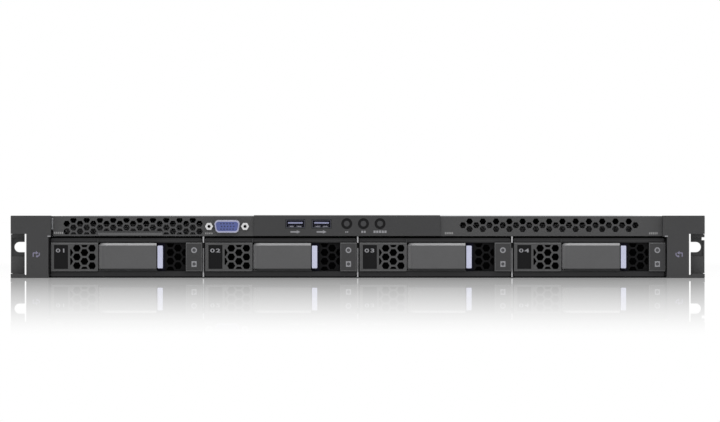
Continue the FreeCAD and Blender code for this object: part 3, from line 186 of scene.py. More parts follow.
def grained(name, changes):
    look = {**moulded, **changes}
    paint, shader, coords = newFinish(name, look)
    fine = noise(coords, look["grain"], look["grainDetail"])
    broad = noise(coords, look["patch"])
    tone = (fine - 0.5) * look["speck"] + (broad - 0.5) * look["drift"] + 0.5
    colour = shades(tone, look["colour"], look["spread"])
    if "litColour" in look:
        colour = look["mask"](coords).colour(colour, shades(tone, look["litColour"], look["spread"]))
    feed(shader, "Base Color", colour)
    rough = (fine - 0.5) * look["roughGrain"] + (broad - 0.5) * look["roughDrift"] + look["rough"]
    feed(shader, "Roughness", rough.clamped(*look["roughSpan"]))
    feedBump(shader, fine, look["bump"], look["grain"] * look["grainDepth"])
    return paint


# Painted light: levers are lighter on the round end where they turn round their pivots, against the block's
# shade there
turn = {"firstBay": bayLeft("1"), "pitch": bayLeft("2") - bayLeft("1"), "end": 37.6, "length": 3.3,
        "power": 2.0}


def litTurnMask(coords):
    u = (along(coords, "X") - turn["firstBay"]) % turn["pitch"]
    return ((turn["end"] - u) / turn["length"]).clamped() ** turn["power"]


# The sheared edges of the bay dividers are painted lighter at both ends and darker between: painted light
# and shade
divider = {"upper": 24.2, "upperFade": 2.0, "lower": 4.2, "lowerFade": 1.2}


def litEndsMask(coords):
    z = along(coords, "Z")
    upper = ((z - divider["upper"]) * divider["upperFade"]).clamped()
    lower = ((divider["lower"] - z) * divider["lowerFade"]).clamped()
    return (upper + lower).clamped()


# Plated sheet: zinc flowers, rolling lines along the sheet and light handling marks
rolled = {"metal": 1.0, "gloss": 0.4, "spread": 0.28, "markSize": 55.0, "markShare": 0.2, "markDetail": 3.0,
          "lineSize": 1.0, "lineDetail": 4.0, "lineDepth": 0.02, "roughFlowers": 0.06, "roughMarks": 0.2,
          "roughLines": 0.12, "roughSpan": (0.12, 0.9)}


def plated(name, changes):
    look = {**rolled, **changes}
    paint, shader, coords = newFinish(name, look)
    flowers = cells(coords, look["flower"], "Color")
    shade = flowers.node("ShaderNodeSeparateColor", {}, {"Color": flowers}) - 0.5
    lines = noise(stretched(coords, look["rolling"]), look["lineSize"], look["lineDetail"])
    line = lines - 0.5
    marks = noise(coords, look["markSize"], look["markDetail"]) - 0.5
    tone = shade * look["flowerShare"] + line * look["lineShare"] + marks * look["markShare"] + 0.5
    feed(shader, "Base Color", shades(tone, look["colour"], look["spread"]))
    rough = shade * look["roughFlowers"] + marks * look["roughMarks"] + line * look["roughLines"]
    feed(shader, "Roughness", (look["rough"] + rough).clamped(*look["roughSpan"]))
    feedBump(shader, lines, look["bump"], look["lineDepth"])
    return paint


# Solder mask over copper tracks, with small pads; where the look has a lit band, the board is light grey
# above a height: painted light
def boardFinish(name, look):
    paint, shader, coords = newFinish(name, look)
    sockets = {"Vector": coords, "Scale": 1 / (look["track"] * mm), "Mortar Size": look["trackWidth"]}
    for socket, share in look["shares"].items():
        sockets[socket] = scaled(look["colour"], share)
    tracks = coords.node("ShaderNodeTexBrick", {}, sockets, "Color")
    pads = cells(coords, look["pad"], "Distance")
    pad = (look["padRadius"] - pads) * look["padEdge"]
    colour = pad.clamped().colour(tracks, look["padColour"])
    if "litBand" in look:
        covered = (along(coords, "Z") - look["litBandLow"]).clamped()
        colour = covered.colour(colour, look["litBand"])
    feed(shader, "Base Color", colour)
    feed(shader, "Roughness", look["rough"] - noise(coords, look["roughPatch"]) * look["roughSpread"])
    feedBump(shader, pads, look["bump"], look["padDepth"])
    return paint


ink = {"grain": 0.25, "speck": 0.5, "rough": 0.7}
lens = {"grain": 0.6, "speck": 0.2, "rough": 0.25, "bump": 0.05}
earPaint = {"speck": 0.55, "rough": 0.62, "bump": 0.4}
stripMould = {"grain": 0.45, "speck": 0.4, "rough": 0.5, "bump": 0.25}
blockMould = {"grain": 0.45, "speck": 0.35, "rough": 0.55, "bump": 0.25}
leverTrim = {"grain": 0.4, "speck": 0.25, "bump": 0.15}
controlTrim = {"grain": 0.35, "speck": 0.25, "bump": 0.2}
looks = {  # each says what differs from moulded
    "panelPaint": {"colour": (0.059, 0.059, 0.06), "grain": 0.6, "speck": 1.1, "rough": 0.6, "bump": 0.6},
    # lighter paint on the front panel's rounded edges: a painted highlight
    "panelEdgeHighlight": {"colour": (0.075, 0.075, 0.077), "grain": 0.6, "speck": 0.5, "rough": 0.5, "bump": 0.3},
    "earPlastic": {"colour": (0.042, 0.042, 0.043), "grain": 0.4, "speck": 0.4, "rough": 0.58, "bump": 0.3},
    "flangePaint": {**earPaint, "colour": (0.062, 0.062, 0.063)},
    # the flange's paint made darker: painted shade in the recessed pocket
    "pocketShade": {**earPaint, "colour": (0.052, 0.052, 0.053)},
    "controlPlastic": {**controlTrim, "colour": (0.038, 0.038, 0.039), "rough": 0.56},
    # the control panel's plastic made darker: painted shade in the button wells and screw bores
    "wellShade": {**controlTrim, "colour": (0.012, 0.012, 0.0125), "rough": 0.6, "gloss": 0.15},
    "buttonPlastic": {**controlTrim, "colour": (0.04, 0.04, 0.042), "grain": 0.4, "rough": 0.5},
    "tagPlastic": {**stripMould, "colour": (0.092, 0.092, 0.094)},
    "stripPlastic": {**stripMould, "colour": (0.017, 0.017, 0.018), "gloss": 0.25},
    "blockPlastic": {**blockMould, "colour": (0.061, 0.061, 0.062)},
    # the lamp block's own plastic; the same colour is painted shade on the cage and painted light on the
    # pocket lips and strip ridges
    "lampPlasticAndPaintedLight": {**blockMould, "colour": (0.036, 0.036, 0.037)},
    # lighter paint on the blocks' chamfered edges: a painted highlight
    "blockEdgeHighlight": {"colour": (0.095, 0.095, 0.097), "grain": 0.45, "rough": 0.5, "bump": 0.2},
    "labelPlastic": {**controlTrim, "colour": (0.006, 0.006, 0.0065), "rough": 0.5, "bump": 0.15,
                     "gloss": 0.12},
    # near-black paint on the recessed mesh and in the mesh holes: painted shade
    "recessShade": {"colour": (0.006, 0.006, 0.0064), "grain": 0.4, "speck": 0.4, "rough": 0.6,
                      "bump": 0.2, "gloss": 0.12},
    "gapShade": {"colour": (0.004, 0.004, 0.004), "speck": 0.4, "rough": 0.8, "bump": 0.2, "gloss": 0.05},
    "lightPipe": {**lens, "colour": (0.05, 0.05, 0.055), "rough": 0.2, "gloss": 0.5},
    # lit colour on the round end at the pivot: painted light against the block's shade
    "leverPlastic": {"colour": (0.078, 0.078, 0.08), "litColour": (0.32, 0.32, 0.325), "mask": litTurnMask,
                     "grain": 0.4, "rough": 0.46, "bump": 0.2, "gloss": 0.4, "roughDrift": 0.0},
    # lighter paint on the lever's top chamfer: a painted highlight
    "leverEdgeHighlight": {**leverTrim, "colour": (0.24, 0.24, 0.245), "rough": 0.4, "gloss": 0.5},
    "leverShade": {**leverTrim, "colour": (0.02, 0.02, 0.021), "rough": 0.55, "gloss": 0.2},
    "touchPlastic": {"colour": (0.51, 0.525, 0.86), "speck": 0.15, "rough": 0.38, "gloss": 0.45},
    # dark navy latch foot, made darker as painted shade in the recess
    "footNavyAndShade": {"colour": (0.004, 0.004, 0.01), "rough": 0.6, "gloss": 0.1},
    "carrierSteel": {"colour": (0.012, 0.012, 0.0125), "grain": 0.6, "speck": 0.4, "bump": 0.25},
    # lit colour at both ends of the divider edges: painted light
    "dividerEdge": {"colour": (0.26, 0.26, 0.265), "litColour": (0.46, 0.46, 0.47), "mask": litEndsMask,
                    "grain": 0.8, "speck": 1.0, "drift": 0.0, "spread": 0.3, "bump": 0.2,
                    "grainDepth": 0.125, "gloss": 0.4, "metal": 0.5, "roughGrain": 0.2, "roughDrift": 0.0},
    "castAluminium": {"colour": (0.52, 0.53, 0.54), "grain": 0.8, "rough": 0.42, "bump": 0.25, "metal": 1.0},
    "nickel": {"colour": (0.62, 0.62, 0.66), "speck": 0.12, "rough": 0.3, "bump": 0.04, "metal": 1.0},
    "whiteNickel": {"colour": (0.86, 0.86, 0.88), "speck": 0.15, "rough": 0.3, "metal": 1.0},
    "dullSteel": {"colour": (0.3, 0.3, 0.31), "metal": 0.7},
    "springSteel": {"colour": (0.3, 0.3, 0.33), "speck": 0.6, "bump": 0.2, "metal": 1.0},
    "navyNickel": {"colour": (0.068, 0.068, 0.085), "metal": 0.3},
    "socketRim": {"colour": (0.36, 0.37, 0.53), "speck": 0.2, "rough": 0.35, "metal": 0.4},
    "gold": {"colour": (0.76, 0.55, 0.22), "rough": 0.25, "metal": 1.0},
    "bluePlastic": {"colour": (0.085, 0.107, 0.28), "speck": 0.2, "bump": 0.15},
    "tonguePlastic": {"colour": (0.25, 0.258, 0.39), "speck": 0.2, "rough": 0.4},
    # dark discs in place of the VGA pin holes: painted shade
    "pinHoleShade": {"colour": (0.02, 0.021, 0.045)},
    # lighter than the shell outside: painted light inside the front USB sockets
    "liningPaintedLight": {"colour": (0.11, 0.11, 0.16)},
    "blackPlastic": {"colour": (0.012, 0.012, 0.0125), "speck": 0.4, "rough": 0.5, "bump": 0.25},
    "rotorPlastic": {"colour": (0.022, 0.022, 0.023), "grain": 0.6, "rough": 0.35, "bump": 0.15},
    "printInk": {**ink, "colour": (0.25, 0.25, 0.265)},
    "faintInk": {**ink, "colour": (0.25, 0.25, 0.25)},
    "lavenderInk": {**ink, "colour": (0.19, 0.18, 0.25)},
    "greenLens": {**lens, "colour": (0.06, 0.24, 0.07)},
    "amberLens": {**lens, "colour": (0.4, 0.2, 0.03)},
}
finish = {name: grained(name, look) for name, look in looks.items()}
sheets = {
    "zincSheet": {"colour": (0.5, 0.51, 0.53), "flower": 5.0, "flowerShare": 0.16, "lineShare": 0.35,
                  "rolling": (1.4, 0.02, 1.4), "rough": 0.38, "bump": 0.25},
    "supplySheet": {"colour": (0.44, 0.45, 0.46), "flower": 4.0, "flowerShare": 0.12, "lineShare": 0.3,
                    "rolling": (1.4, 1.4, 0.03), "rough": 0.42, "bump": 0.2},
    "finStock": {"colour": (0.62, 0.63, 0.64), "flower": 20.0, "flowerShare": 0.1, "lineShare": 0.45,
                 "rolling": (1.6, 0.03, 1.6), "rough": 0.3, "bump": 0.2},
}
for name, look in sheets.items():
    finish[name] = plated(name, look)
board = {"colour": (0.012, 0.085, 0.035), "shares": {"Color1": 1.0, "Color2": 1.25, "Mortar": 1.9},
         "track": 7.0, "trackWidth": 0.035, "pad": 5.5, "padRadius": 0.22, "padEdge": 40.0, "padDepth": 0.05,
         "padColour": (0.55, 0.42, 0.2, 1.0), "metal": 0.0, "gloss": 0.5, "rough": 0.42, "roughSpread": 0.15,
         "roughPatch": 4.0, "bump": 0.25}
finish["circuitBoard"] = boardFinish("circuitBoard", board)
finish["litBandBoard"] = boardFinish("litBandBoard", {**board, "litBand": (0.4, 0.4, 0.41, 1.0), "litBandLow": 29.0})
print("finishes made:", len(finish))


# Dressing of the CAD nodes

rounding = {"weld": 0.002, "angle": 40.0}
level = 0.02  # how far a face may lie from the plane it is told by
squareOn = 0.9  # how much of its normal a face needs along an axis to look that way


def dress(name, paints, width=0.15, segments=2, edge=None):
    mesh = nodes[name].data
    mesh.materials.clear()
    for paint in paints:
        mesh.materials.append(finish[paint])
    if width == 0:  # a thin sheet with many holes stays sharp
        return
    weld = nodes[name].modifiers.new("weld", "WELD")
    weld.merge_threshold = rounding["weld"] * mm
    bevel = nodes[name].modifiers.new("edges", "BEVEL")
    bevel.width = width * mm
    bevel.segments = segments
    bevel.limit_method = "ANGLE"
    bevel.angle_limit = math.radians(rounding["angle"])
    bevel.harden_normals = True
    if edge:
        mesh.materials.append(finish[edge])
        bevel.material = len(paints)


def within(value, span):
    return span[0] < value < span[1]


# choose gives a paint's name, or None, from a face's middle in millimetres and its normal
def paintFaces(name, choose, faces=None):
    mesh = nodes[name].data
    slots = {paint.name: slot for slot, paint in enumerate(mesh.materials)}
    for face in faces or mesh.polygons:
        paint = choose(face.center / mm, face.normal)
        if paint:
            face.material_index = slots[finish[paint].name]


def paintWhere(name, paint, test):
    paintFaces(name, lambda spot, normal: paint if test(spot, normal) else None)


def islands(name):  # the separate solids: face lists with their corner boxes in millimetres
    mesh = nodes[name].data
    root = {}

    def find(key):
        while root.setdefault(key, key) != key:
            key = root[key]
        return key

    keys = [tuple(round(value, 5) for value in vertex.co) for vertex in mesh.vertices]
    for face in mesh.polygons:
        first = find(keys[face.vertices[0]])
        for corner in face.vertices[1:]:
            root[find(keys[corner])] = first
    groups = {}
    for face in mesh.polygons:
        groups.setdefault(find(keys[face.vertices[0]]), []).append(face)
    found = []
    for faces in groups.values():
        corners = [mesh.vertices[corner].co / mm for face in faces for corner in face.vertices]
        low, high = [Vector([pick(values) for values in zip(*corners)]) for pick in (min, max)]
        found.append((faces, low, high))
    return sorted(found, key=lambda island: tuple(island[1]))


plainNodes = {  # paint and rounding of nodes in one finish
    "rear_panel": ("zincSheet", 0), "slot_covers": ("zincSheet", 0.15), "rail_studs": ("nickel", 0.25),
    "tag_guide": ("blackPlastic", 0.15), "pull_tag": ("tagPlastic", 0.2), "cpu_heatsinks": ("finStock", 0.1),
    "cover_latch_cup": ("blackPlastic", 0.3), "cover_latch": ("touchPlastic", 0.3),
    "fan_frames": ("blackPlastic", 0.3),
}
for side, sign in sides:
    plainNodes["ear_cover_" + side] = ("earPlastic", 0.3)
for name in buttonNames:
    plainNodes[name] = ("buttonPlastic", 0.25)
for unit in supplies:
    plainNodes["psu_latch_" + unit] = ("touchPlastic", 0.3)
    plainNodes["psu_rotor_" + unit] = ("rotorPlastic", 0.15)
for unit in fans:
    plainNodes["fan_rotor_" + unit] = ("rotorPlastic", 0.2)
for name, (paint, width) in plainNodes.items():
    dress(name, [paint], width)

# Base and cage: bare sheet, with painted shade where the gaps round the bays show its front edges, on the
# dividers' notch floors and on the outer walls' fronts
gap = {"baseFront": -3.7, "panelBottom": 29.0, "dividerFront": -8.0, "notchFloor": -4.5, "outerWall": 213.0,
       "shelfFront": -1.7, "turned": 0.5}


def cagePaint(spot, normal):
    if spot.y < gap["dividerFront"]:
        return "dividerEdge"
    # dark grey on the notch floors and the outer walls' fronts: painted shade
    if spot.y < gap["notchFloor"] or abs(spot.x) > gap["outerWall"] and spot.y < 0:
        return "lampPlasticAndPaintedLight"
    return "gapShade" if spot.y < gap["shelfFront"] else None


dress("chassis_tray", ["zincSheet", "gapShade"], 0.18)
paintWhere("chassis_tray", "gapShade", lambda spot, normal: spot.y < gap["baseFront"]
           and normal.y < -gap["turned"] and spot.z < gap["panelBottom"])
dress("drive_cage", ["zincSheet", "gapShade", "dividerEdge", "lampPlasticAndPaintedLight"], 0.12)
paintFaces("drive_cage", cagePaint)

# Cover and what lies behind the meshes: painted shade on the cover's inner sides and where things show
# through the meshes
hidden = {"coverSide": 210.0, "driveFront": 9.0, "carrierFront": 2.0}
dress("top_cover", ["zincSheet", "gapShade"], 0.2)
paintWhere("top_cover", "gapShade", lambda spot, normal: abs(spot.x) > hidden["coverSide"]
           and spot.x * normal.x < 0 and abs(normal.x) > squareOn)
# the front panel's rounded edges take a lighter paint, a painted highlight
dress("front_panel", ["panelPaint"], 0.12, edge="panelEdgeHighlight")
for bay in bays:
    dress("hard_drive_" + bay, ["castAluminium", "gapShade"], 0.4)
    paintWhere("hard_drive_" + bay, "gapShade", lambda spot, normal: normal.y < -squareOn
               and spot.y < hidden["driveFront"])
    dress("tray_carrier_" + bay, ["carrierSteel", "gapShade"])
    paintWhere("tray_carrier_" + bay, "gapShade", lambda spot, normal: spot.y < hidden["carrierFront"])

# Ears: painted flange, with painted shade on the pocket round the screw slot
earPocket = {"floor": -1.5, "reach": 0.05}
for side, sign in sides:
    dress("rack_ear_" + side, ["flangePaint", "pocketShade"])
    paintWhere("rack_ear_" + side, "pocketShade",
               lambda spot, normal: abs(spot.y - earPocket["floor"]) < earPocket["reach"])

# Control panel: painted shade in the wells round the buttons
well = {"radius": 3.9, "edge": 0.03, "floor": -9.0}
buttons = [middle(name) for name in buttonNames]


def inWell(spot):
    isNear = min(math.hypot(spot.x - button.x, spot.z - button.z) for button in buttons) < well["radius"]
    return controlFace + well["edge"] < spot.y < well["floor"] and isNear


dress("control_panel", ["controlPlastic", "wellShade"], 0.2)
paintWhere("control_panel", "wellShade", lambda spot, normal: inWell(spot))

# Levers: painted highlight on the chamfer along the top, painted shade on the round along the bottom;
# latches on a dark navy foot, made darker as painted shade
lever = {"pivotReach": -7.2, "faceReach": -10.2, "footFront": -7.05, "chamfer": (0.25, 0.95),
         "round": (-0.97, -0.35)}


def leverPaint(spot, normal):
    if spot.y < lever["pivotReach"] and within(normal.z, lever["chamfer"]):
        return "leverEdgeHighlight"
    return "leverShade" if spot.y < lever["faceReach"] and within(normal.z, lever["round"]) else None


for bay in bays:
    dress("tray_lever_" + bay, ["leverPlastic", "leverEdgeHighlight", "leverShade"])
    paintFaces("tray_lever_" + bay, leverPaint)
    dress("lever_latch_" + bay, ["touchPlastic", "footNavyAndShade"], 0.25)
    paintWhere("lever_latch_" + bay, "footNavyAndShade", lambda spot, normal: spot.y > lever["footFront"])

# Boards: the mask on the plate, plastic on what stands on it
boards = {"motherboardTop": 7.65, "plate": 1.65}
for name in ("motherboard", "control_board", "drive_backplane", "memory_modules"):
    # the backplane's board is light grey along its top, painted light that shows through the vents
    mask = "litBandBoard" if name == "drive_backplane" else "circuitBoard"
    dress(name, [mask, "blackPlastic"], 0.1, segments=1)
paintWhere("motherboard", "blackPlastic", lambda spot, normal: spot.z > boards["motherboardTop"])
for name in ("control_board", "drive_backplane"):
    plateFront = nodeBox(name)[1].y - boards["plate"]
    paintWhere(name, "blackPlastic", lambda spot, normal: spot.y < plateFront)

# Tray bezels: dark strips with painted shade on their rounded tops and bottoms, lighter raised blocks with a
# painted highlight on their edges, black label plate, painted shade on the recessed mesh and in the mesh
# holes, light pipes
bezel = {"blockFront": -12.0, "blockBack": -9.05, "blockEdgeHighlight": 0.5, "edgeSlope": (0.3, 0.95),
         "labelFloor": -11.2, "plate": -5.0, "stripFront": -9.0, "stripBack": -8.2, "stripSpan": (1.5, 27.1),
         "meshSpan": (13.8, 33.0), "meshRise": (6.0, 23.2), "meshFace": 0.1, "lampLeft": 94.0,
         "pipeWidth": 5.0}


def bezelPaint(u, spot, normal):  # u is the distance from the bay's left edge
    if abs(spot.y - bezel["labelFloor"]) < level and normal.y < -squareOn:
        return "labelPlastic"
    inMesh = within(u, bezel["meshSpan"]) and within(spot.z, bezel["meshRise"])
    if spot.y > bezel["plate"] - level or inMesh and spot.y > bezel["blockFront"] + bezel["meshFace"]:
        return "recessShade"
    if spot.y < bezel["blockFront"] + bezel["blockEdgeHighlight"] and within(-normal.y, bezel["edgeSlope"]):
        return "blockEdgeHighlight"
    if spot.y < bezel["blockBack"]:
        return "lampPlasticAndPaintedLight" if u > bezel["lampLeft"] else "blockPlastic"
    if spot.y < bezel["stripBack"] and normal.y > -squareOn:
        return "stripPlastic" if within(spot.z, bezel["stripSpan"]) else "gapShade"
    return None


for bay in bays:
    name = "tray_bezel_" + bay
    dress(name, ["stripPlastic", "blockPlastic", "labelPlastic", "recessShade", "lightPipe", "blockEdgeHighlight",
                 "lampPlasticAndPaintedLight", "gapShade"], 0.12)
    left = bayLeft(bay)
    for faces, low, high in islands(name):
        if high.x - low.x < bezel["pipeWidth"]:
            paintFaces(name, lambda spot, normal: "lightPipe", faces)
        else:
            paintFaces(name, lambda spot, normal: bezelPaint(spot.x - left, spot, normal), faces)

# Sockets: plated shells, coloured inserts and tongues; the front USB shells are lighter inside, painted
# light
socket = {"tongueHeight": 2.0, "wall": 0.3, "insertSink": 0.4, "rimReach": 4.2, "mouthEdge": 0.05,
          "vgaReach": 0.1}
frontMouth = nodeBox("front_vga_socket")[0].y
rearMouth = nodeBox("rear_sockets")[1].y


def isTongue(low, high):
    return high.z - low.z < socket["tongueHeight"]


def insideShell(spot, low, high):
    wall = socket["wall"]
    return low.x + wall < spot.x < high.x - wall and low.z + wall < spot.z < high.z - wall


def usbPaint(spot, low, high):
    if isTongue(low, high):
        return "tonguePlastic"
    isLining = insideShell(spot, low, high) and spot.y > low.y + socket["mouthEdge"]
    return "liningPaintedLight" if isLining else "navyNickel"


def vgaPaint(spot, normal):
    depth = spot.y - frontMouth
    if abs(depth - socket["insertSink"]) < level and normal.y < -squareOn:
        return "bluePlastic"
    return "socketRim" if depth < socket["rimReach"] else None


def rearSocketPaint(spot, normal, low, high):
    if isTongue(low, high):
        return "tonguePlastic"
    if high.y > rearMouth - socket["vgaReach"]:  # the VGA socket stands out furthest
        isInsert = abs(rearMouth - spot.y - socket["insertSink"]) < level and normal.y > squareOn
        return "bluePlastic" if isInsert else "nickel"
    isLining = insideShell(spot, low, high) and spot.y < high.y - socket["mouthEdge"]
    return "blackPlastic" if isLining and normal.y > -squareOn else None


dress("front_usb_sockets", ["navyNickel", "tonguePlastic", "liningPaintedLight"], 0.06)
usbIslands = islands("front_usb_sockets")
for faces, low, high in usbIslands:
    paintFaces("front_usb_sockets", lambda spot, normal: usbPaint(spot, low, high), faces)
dress("front_vga_socket", ["nickel", "socketRim", "bluePlastic"], 0.12)
paintFaces("front_vga_socket", vgaPaint)
dress("rear_sockets", ["nickel", "tonguePlastic", "bluePlastic", "blackPlastic"], 0.08)
for faces, low, high in islands("rear_sockets"):
    paintFaces("rear_sockets", lambda spot, normal: rearSocketPaint(spot, normal, low, high), faces)

# Screws: bright jackscrews with painted shade in their threaded holes
jackscrew = {"bore": 1.12, "width": 4.5}


def jackPaint(spot, low, high):
    centre = (low + high) / 2
    inBore = math.hypot(spot.x - centre.x, spot.z - centre.z) < jackscrew["bore"]
    return "wellShade" if inBore else "whiteNickel"


dress("screws", ["nickel", "whiteNickel", "wellShade"], 0.2)
for faces, low, high in islands("screws"):
    if high.x - low.x > jackscrew["width"]:
        paintFaces("screws", lambda spot, normal: jackPaint(spot, low, high), faces)

# Power supplies: sheet case, black inlet and handle, plated blades, card edge at the front
supply = {"inletX": 58.4, "inletRise": 14.2, "inletHalf": 13.6, "inletTall": 10.0, "inletFloor": 683.0,
          "bladeFoot": 685.6, "bladeReach": 8.2, "bladeHeight": 4.0, "cardEdge": 515.0, "handleFoot": 0.1}


def supplyPaint(spot, low):
    across = abs(spot.x - low.x - supply["inletX"])
    height = abs(spot.z - low.z - supply["inletRise"])
    inInlet = across < supply["inletHalf"] and height < supply["inletTall"]
    if spot.y > rearFace + supply["handleFoot"]:
        return "blackPlastic"
    if inInlet and supply["inletFloor"] < spot.y < rearFace - level:
        isBlade = across < supply["bladeReach"] and height < supply["bladeHeight"]
        return "nickel" if isBlade and spot.y > supply["bladeFoot"] else "blackPlastic"
    return "circuitBoard" if spot.y < supply["cardEdge"] else None


for unit in supplies:
    name = "psu_case_" + unit
    dress(name, ["supplySheet", "blackPlastic", "nickel", "circuitBoard"], 0.12)
    low, high = nodeBox(name)
    paintFaces(name, lambda spot, normal: supplyPaint(spot, low))
print("CAD nodes dressed")


# Small pieces

def place(name, mesh, body, paint):
    piece = addObject(name, mesh)
    mesh.materials.clear()
    mesh.materials.append(finish[paint])
    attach(piece, body)


def arc(x, z, radius, start, end, count=14):  # points on a circle, angles in degrees
    angles = [math.radians(start + (end - start) * step / count) for step in range(count + 1)]
    return [(x + radius * math.cos(angle), z + radius * math.sin(angle)) for angle in angles]


def circle(x, z, radius, count=28):
    return arc(x, z, radius, 0, 360, count)[:-1]


def rectangle(x, z, width, height):
    w, h = width / 2, height / 2
    return [(x - w, z - h), (x + w, z - h), (x + w, z + h), (x - w, z + h)]


def cutTop(look):  # a rectangle without its upper corners
    left, right, low, high, cut = [look[key] for key in ("left", "right", "low", "high", "cut")]
    return [(left, low), (right, low), (right, high - cut), (right - cut, high), (left + cut, high),
            (left, high - cut)]


def pointer(look):  # an arrow to the right, round the origin
    tip, wing, half = look["length"] / 2, look["width"] / 2, look["stroke"] / 2
    neck = tip - look["head"]
    return [(-tip, -half), (neck, -half), (neck, -wing), (tip, 0), (neck, wing), (neck, half), (-tip, half)]


def doubled(points):  # with the same points turned half round
    return points + [(-x, -z) for x, z in points]


def cross(radius, arm):  # a screw's cross recess
    return doubled([(radius, -arm), (radius, arm), (arm, arm), (arm, radius), (-arm, radius), (-arm, arm)])


def dashes(x, z, width, height, count, gap=0.45):  # a row of short strokes that fills the width
    single = (width - gap * (count - 1)) / count
    first = x - width / 2 + single / 2
    return [rectangle(first + number * (single + gap), z, single, height) for number in range(count)]


def moved(points, right, up):
    return [(x + right, z + up) for x, z in points]


upright = Matrix.Rotation(math.radians(90), 4, "X")
turns = {"front": upright, "top": Matrix.Identity(4)}
for facing, angle in (("rear", 180), ("left", -90), ("right", 90)):
    turns[facing] = Matrix.Rotation(math.radians(angle), 4, "Z") @ upright
seam = 0.0005  # joins the faces of a filled curve to its sides


def at(spot, facing):  # to a place in millimetres, turned to look that way
    return Matrix.Translation(Vector(spot) * mm) @ turns[facing]


def meshOf(name, curve):
    holder = addObject(name, curve)
    bpy.context.view_layer.update()
    mesh = bpy.data.meshes.new_from_object(holder)
    mesh.name = name
    bpy.data.objects.remove(holder)
    bpy.data.curves.remove(curve)
    build = bmesh.new()
    build.from_mesh(mesh)
    bmesh.ops.remove_doubles(build, verts=build.verts, dist=seam * mm)
    bmesh.ops.recalc_face_normals(build, faces=build.faces)
    build.to_mesh(mesh)
    build.free()
    return mesh


# A plate of closed outlines, of which an inner one is a hole; its back is at height 0
def filled(name, outlines, thick):
    curve = bpy.data.curves.new(name, "CURVE")
    curve.dimensions = "2D"
    curve.fill_mode = "BOTH"
    curve.extrude = thick * mm / 2
    for points in outlines:
        spline = curve.splines.new("POLY")
        spline.points.add(len(points) - 1)
        for point, (x, z) in zip(spline.points, points):
            point.co = (x * mm, z * mm, 0, 1)
        spline.use_cyclic_u = True
    mesh = meshOf(name, curve)
    mesh.transform(Matrix.Translation((0, 0, thick * mm / 2)))
    return mesh


def turned(name, profile, count=24):  # a round piece from (radius, height) points, outside in, on height 0
    build = bmesh.new()
    rings = []
    for radius, height in profile:
        points = circle(0, 0, radius, count) if radius else [(0, 0)]
        rings.append([build.verts.new((x * mm, y * mm, height * mm)) for x, y in points])
    build.faces.new(reversed(rings[0]))
    for lower, upper in zip(rings, rings[1:]):
        for step in range(count):
            after = (step + 1) % count
            top = [upper[0]] if len(upper) == 1 else [upper[after], upper[step]]
            build.faces.new([lower[step], lower[after]] + top)
    mesh = bpy.data.meshes.new(name)
    build.to_mesh(mesh)
    build.free()
    mesh.shade_smooth()
    return mesh


def scatter(name, mesh, spots, facing, body, paint):  # copies of a mesh at several places, as one piece
    build = bmesh.new()
    for spot in spots:
        copy = mesh.copy()
        copy.transform(at(spot, facing))
        build.from_mesh(copy)
        bpy.data.meshes.remove(copy)
    whole = bpy.data.meshes.new(name)
    build.to_mesh(whole)
    build.free()
    place(name, whole, body, paint)


inkThick = 0.04
recessThick = 0.03


def mark(name, outlines, y, body, paint, thick=inkThick):  # a flat piece on a face that looks to the front
    mesh = filled(name, outlines, thick)
    mesh.transform(at((0, y, 0), "front"))
    place(name, mesh, body, paint)


def figure(name, text, spot, style, body, paint):
    curve = bpy.data.curves.new(name, "FONT")
    curve.body = text
    curve.size = style["height"] * mm / style["capitals"]
    curve.align_x = curve.align_y = "CENTER"
    curve.extrude = inkThick * mm / 2
    curve.space_character = style["spacing"]
    curve.offset = style["bold"] * mm
    mesh = meshOf(name, curve)
    mesh.transform(at(spot, "front") @ Matrix.Diagonal((style["stretch"], 1, 1, 1)))
    place(name, mesh, body, paint)


# Marks on each tray: its number on the label plate, a ring and a drive sign round the light pipes
numberStyle = {"x": 8.3, "z": 18.9, "height": 2.5, "capitals": 0.7, "stretch": 1.75, "bold": 0.08,
               "spacing": 1.25}
lampMark = {"x": 100.8, "ringZ": 19.3, "ringOut": 2.0, "signZ": 9.7, "sign": (3.5, 3.9), "hole": 1.15}
for bay in bays:
    body = "tray_" + bay
    spot = (bayLeft(bay) + numberStyle["x"], bezel["labelFloor"] - inkThick / 2, numberStyle["z"])
    figure("bay_number_" + bay, "0" + bay, spot, numberStyle, body, "printInk")
    x, signZ, hole = bayLeft(bay) + lampMark["x"], lampMark["signZ"], lampMark["hole"]
    ring = [circle(x, lampMark["ringZ"], radius) for radius in (lampMark["ringOut"], hole)]
    plate = rectangle(x, signZ, *lampMark["sign"])
    mark("activity_ring_" + bay, ring, bezel["blockFront"], body, "printInk")
    mark("drive_sign_" + bay, [plate, circle(x, signZ, hole)], bezel["blockFront"], body, "printInk")

# Lip of the pocket under each lever, painted lighter than the strip as painted light in the pocket's shade,
# and a rib beside the lever's barrel
lip = {"left": 34.2, "right": 75.2, "low": 4.72, "high": 5.4, "cut": 0.2, "back": -8.5, "ribWidth": 0.26,
       "ribFront": -11.4, "leverGap": 0.3}
for bay in bays:
    body, back = "tray_" + bay, lip["back"]
    mark("pocket_lip_" + bay, [moved(cutTop(lip), bayLeft(bay), 0)], back, body, "lampPlasticAndPaintedLight",
         back - bezel["stripFront"])
    low, high = nodeBox("tray_lever_" + bay)
    ribX = low.x - lip["leverGap"] + lip["ribWidth"] / 2
    ribHigh = high.z + lip["leverGap"]
    rib = rectangle(ribX, (lip["high"] + ribHigh) / 2, lip["ribWidth"], ribHigh - lip["high"])
    mark("pocket_rib_" + bay, [rib], back, body, "blockPlastic", back - lip["ribFront"])

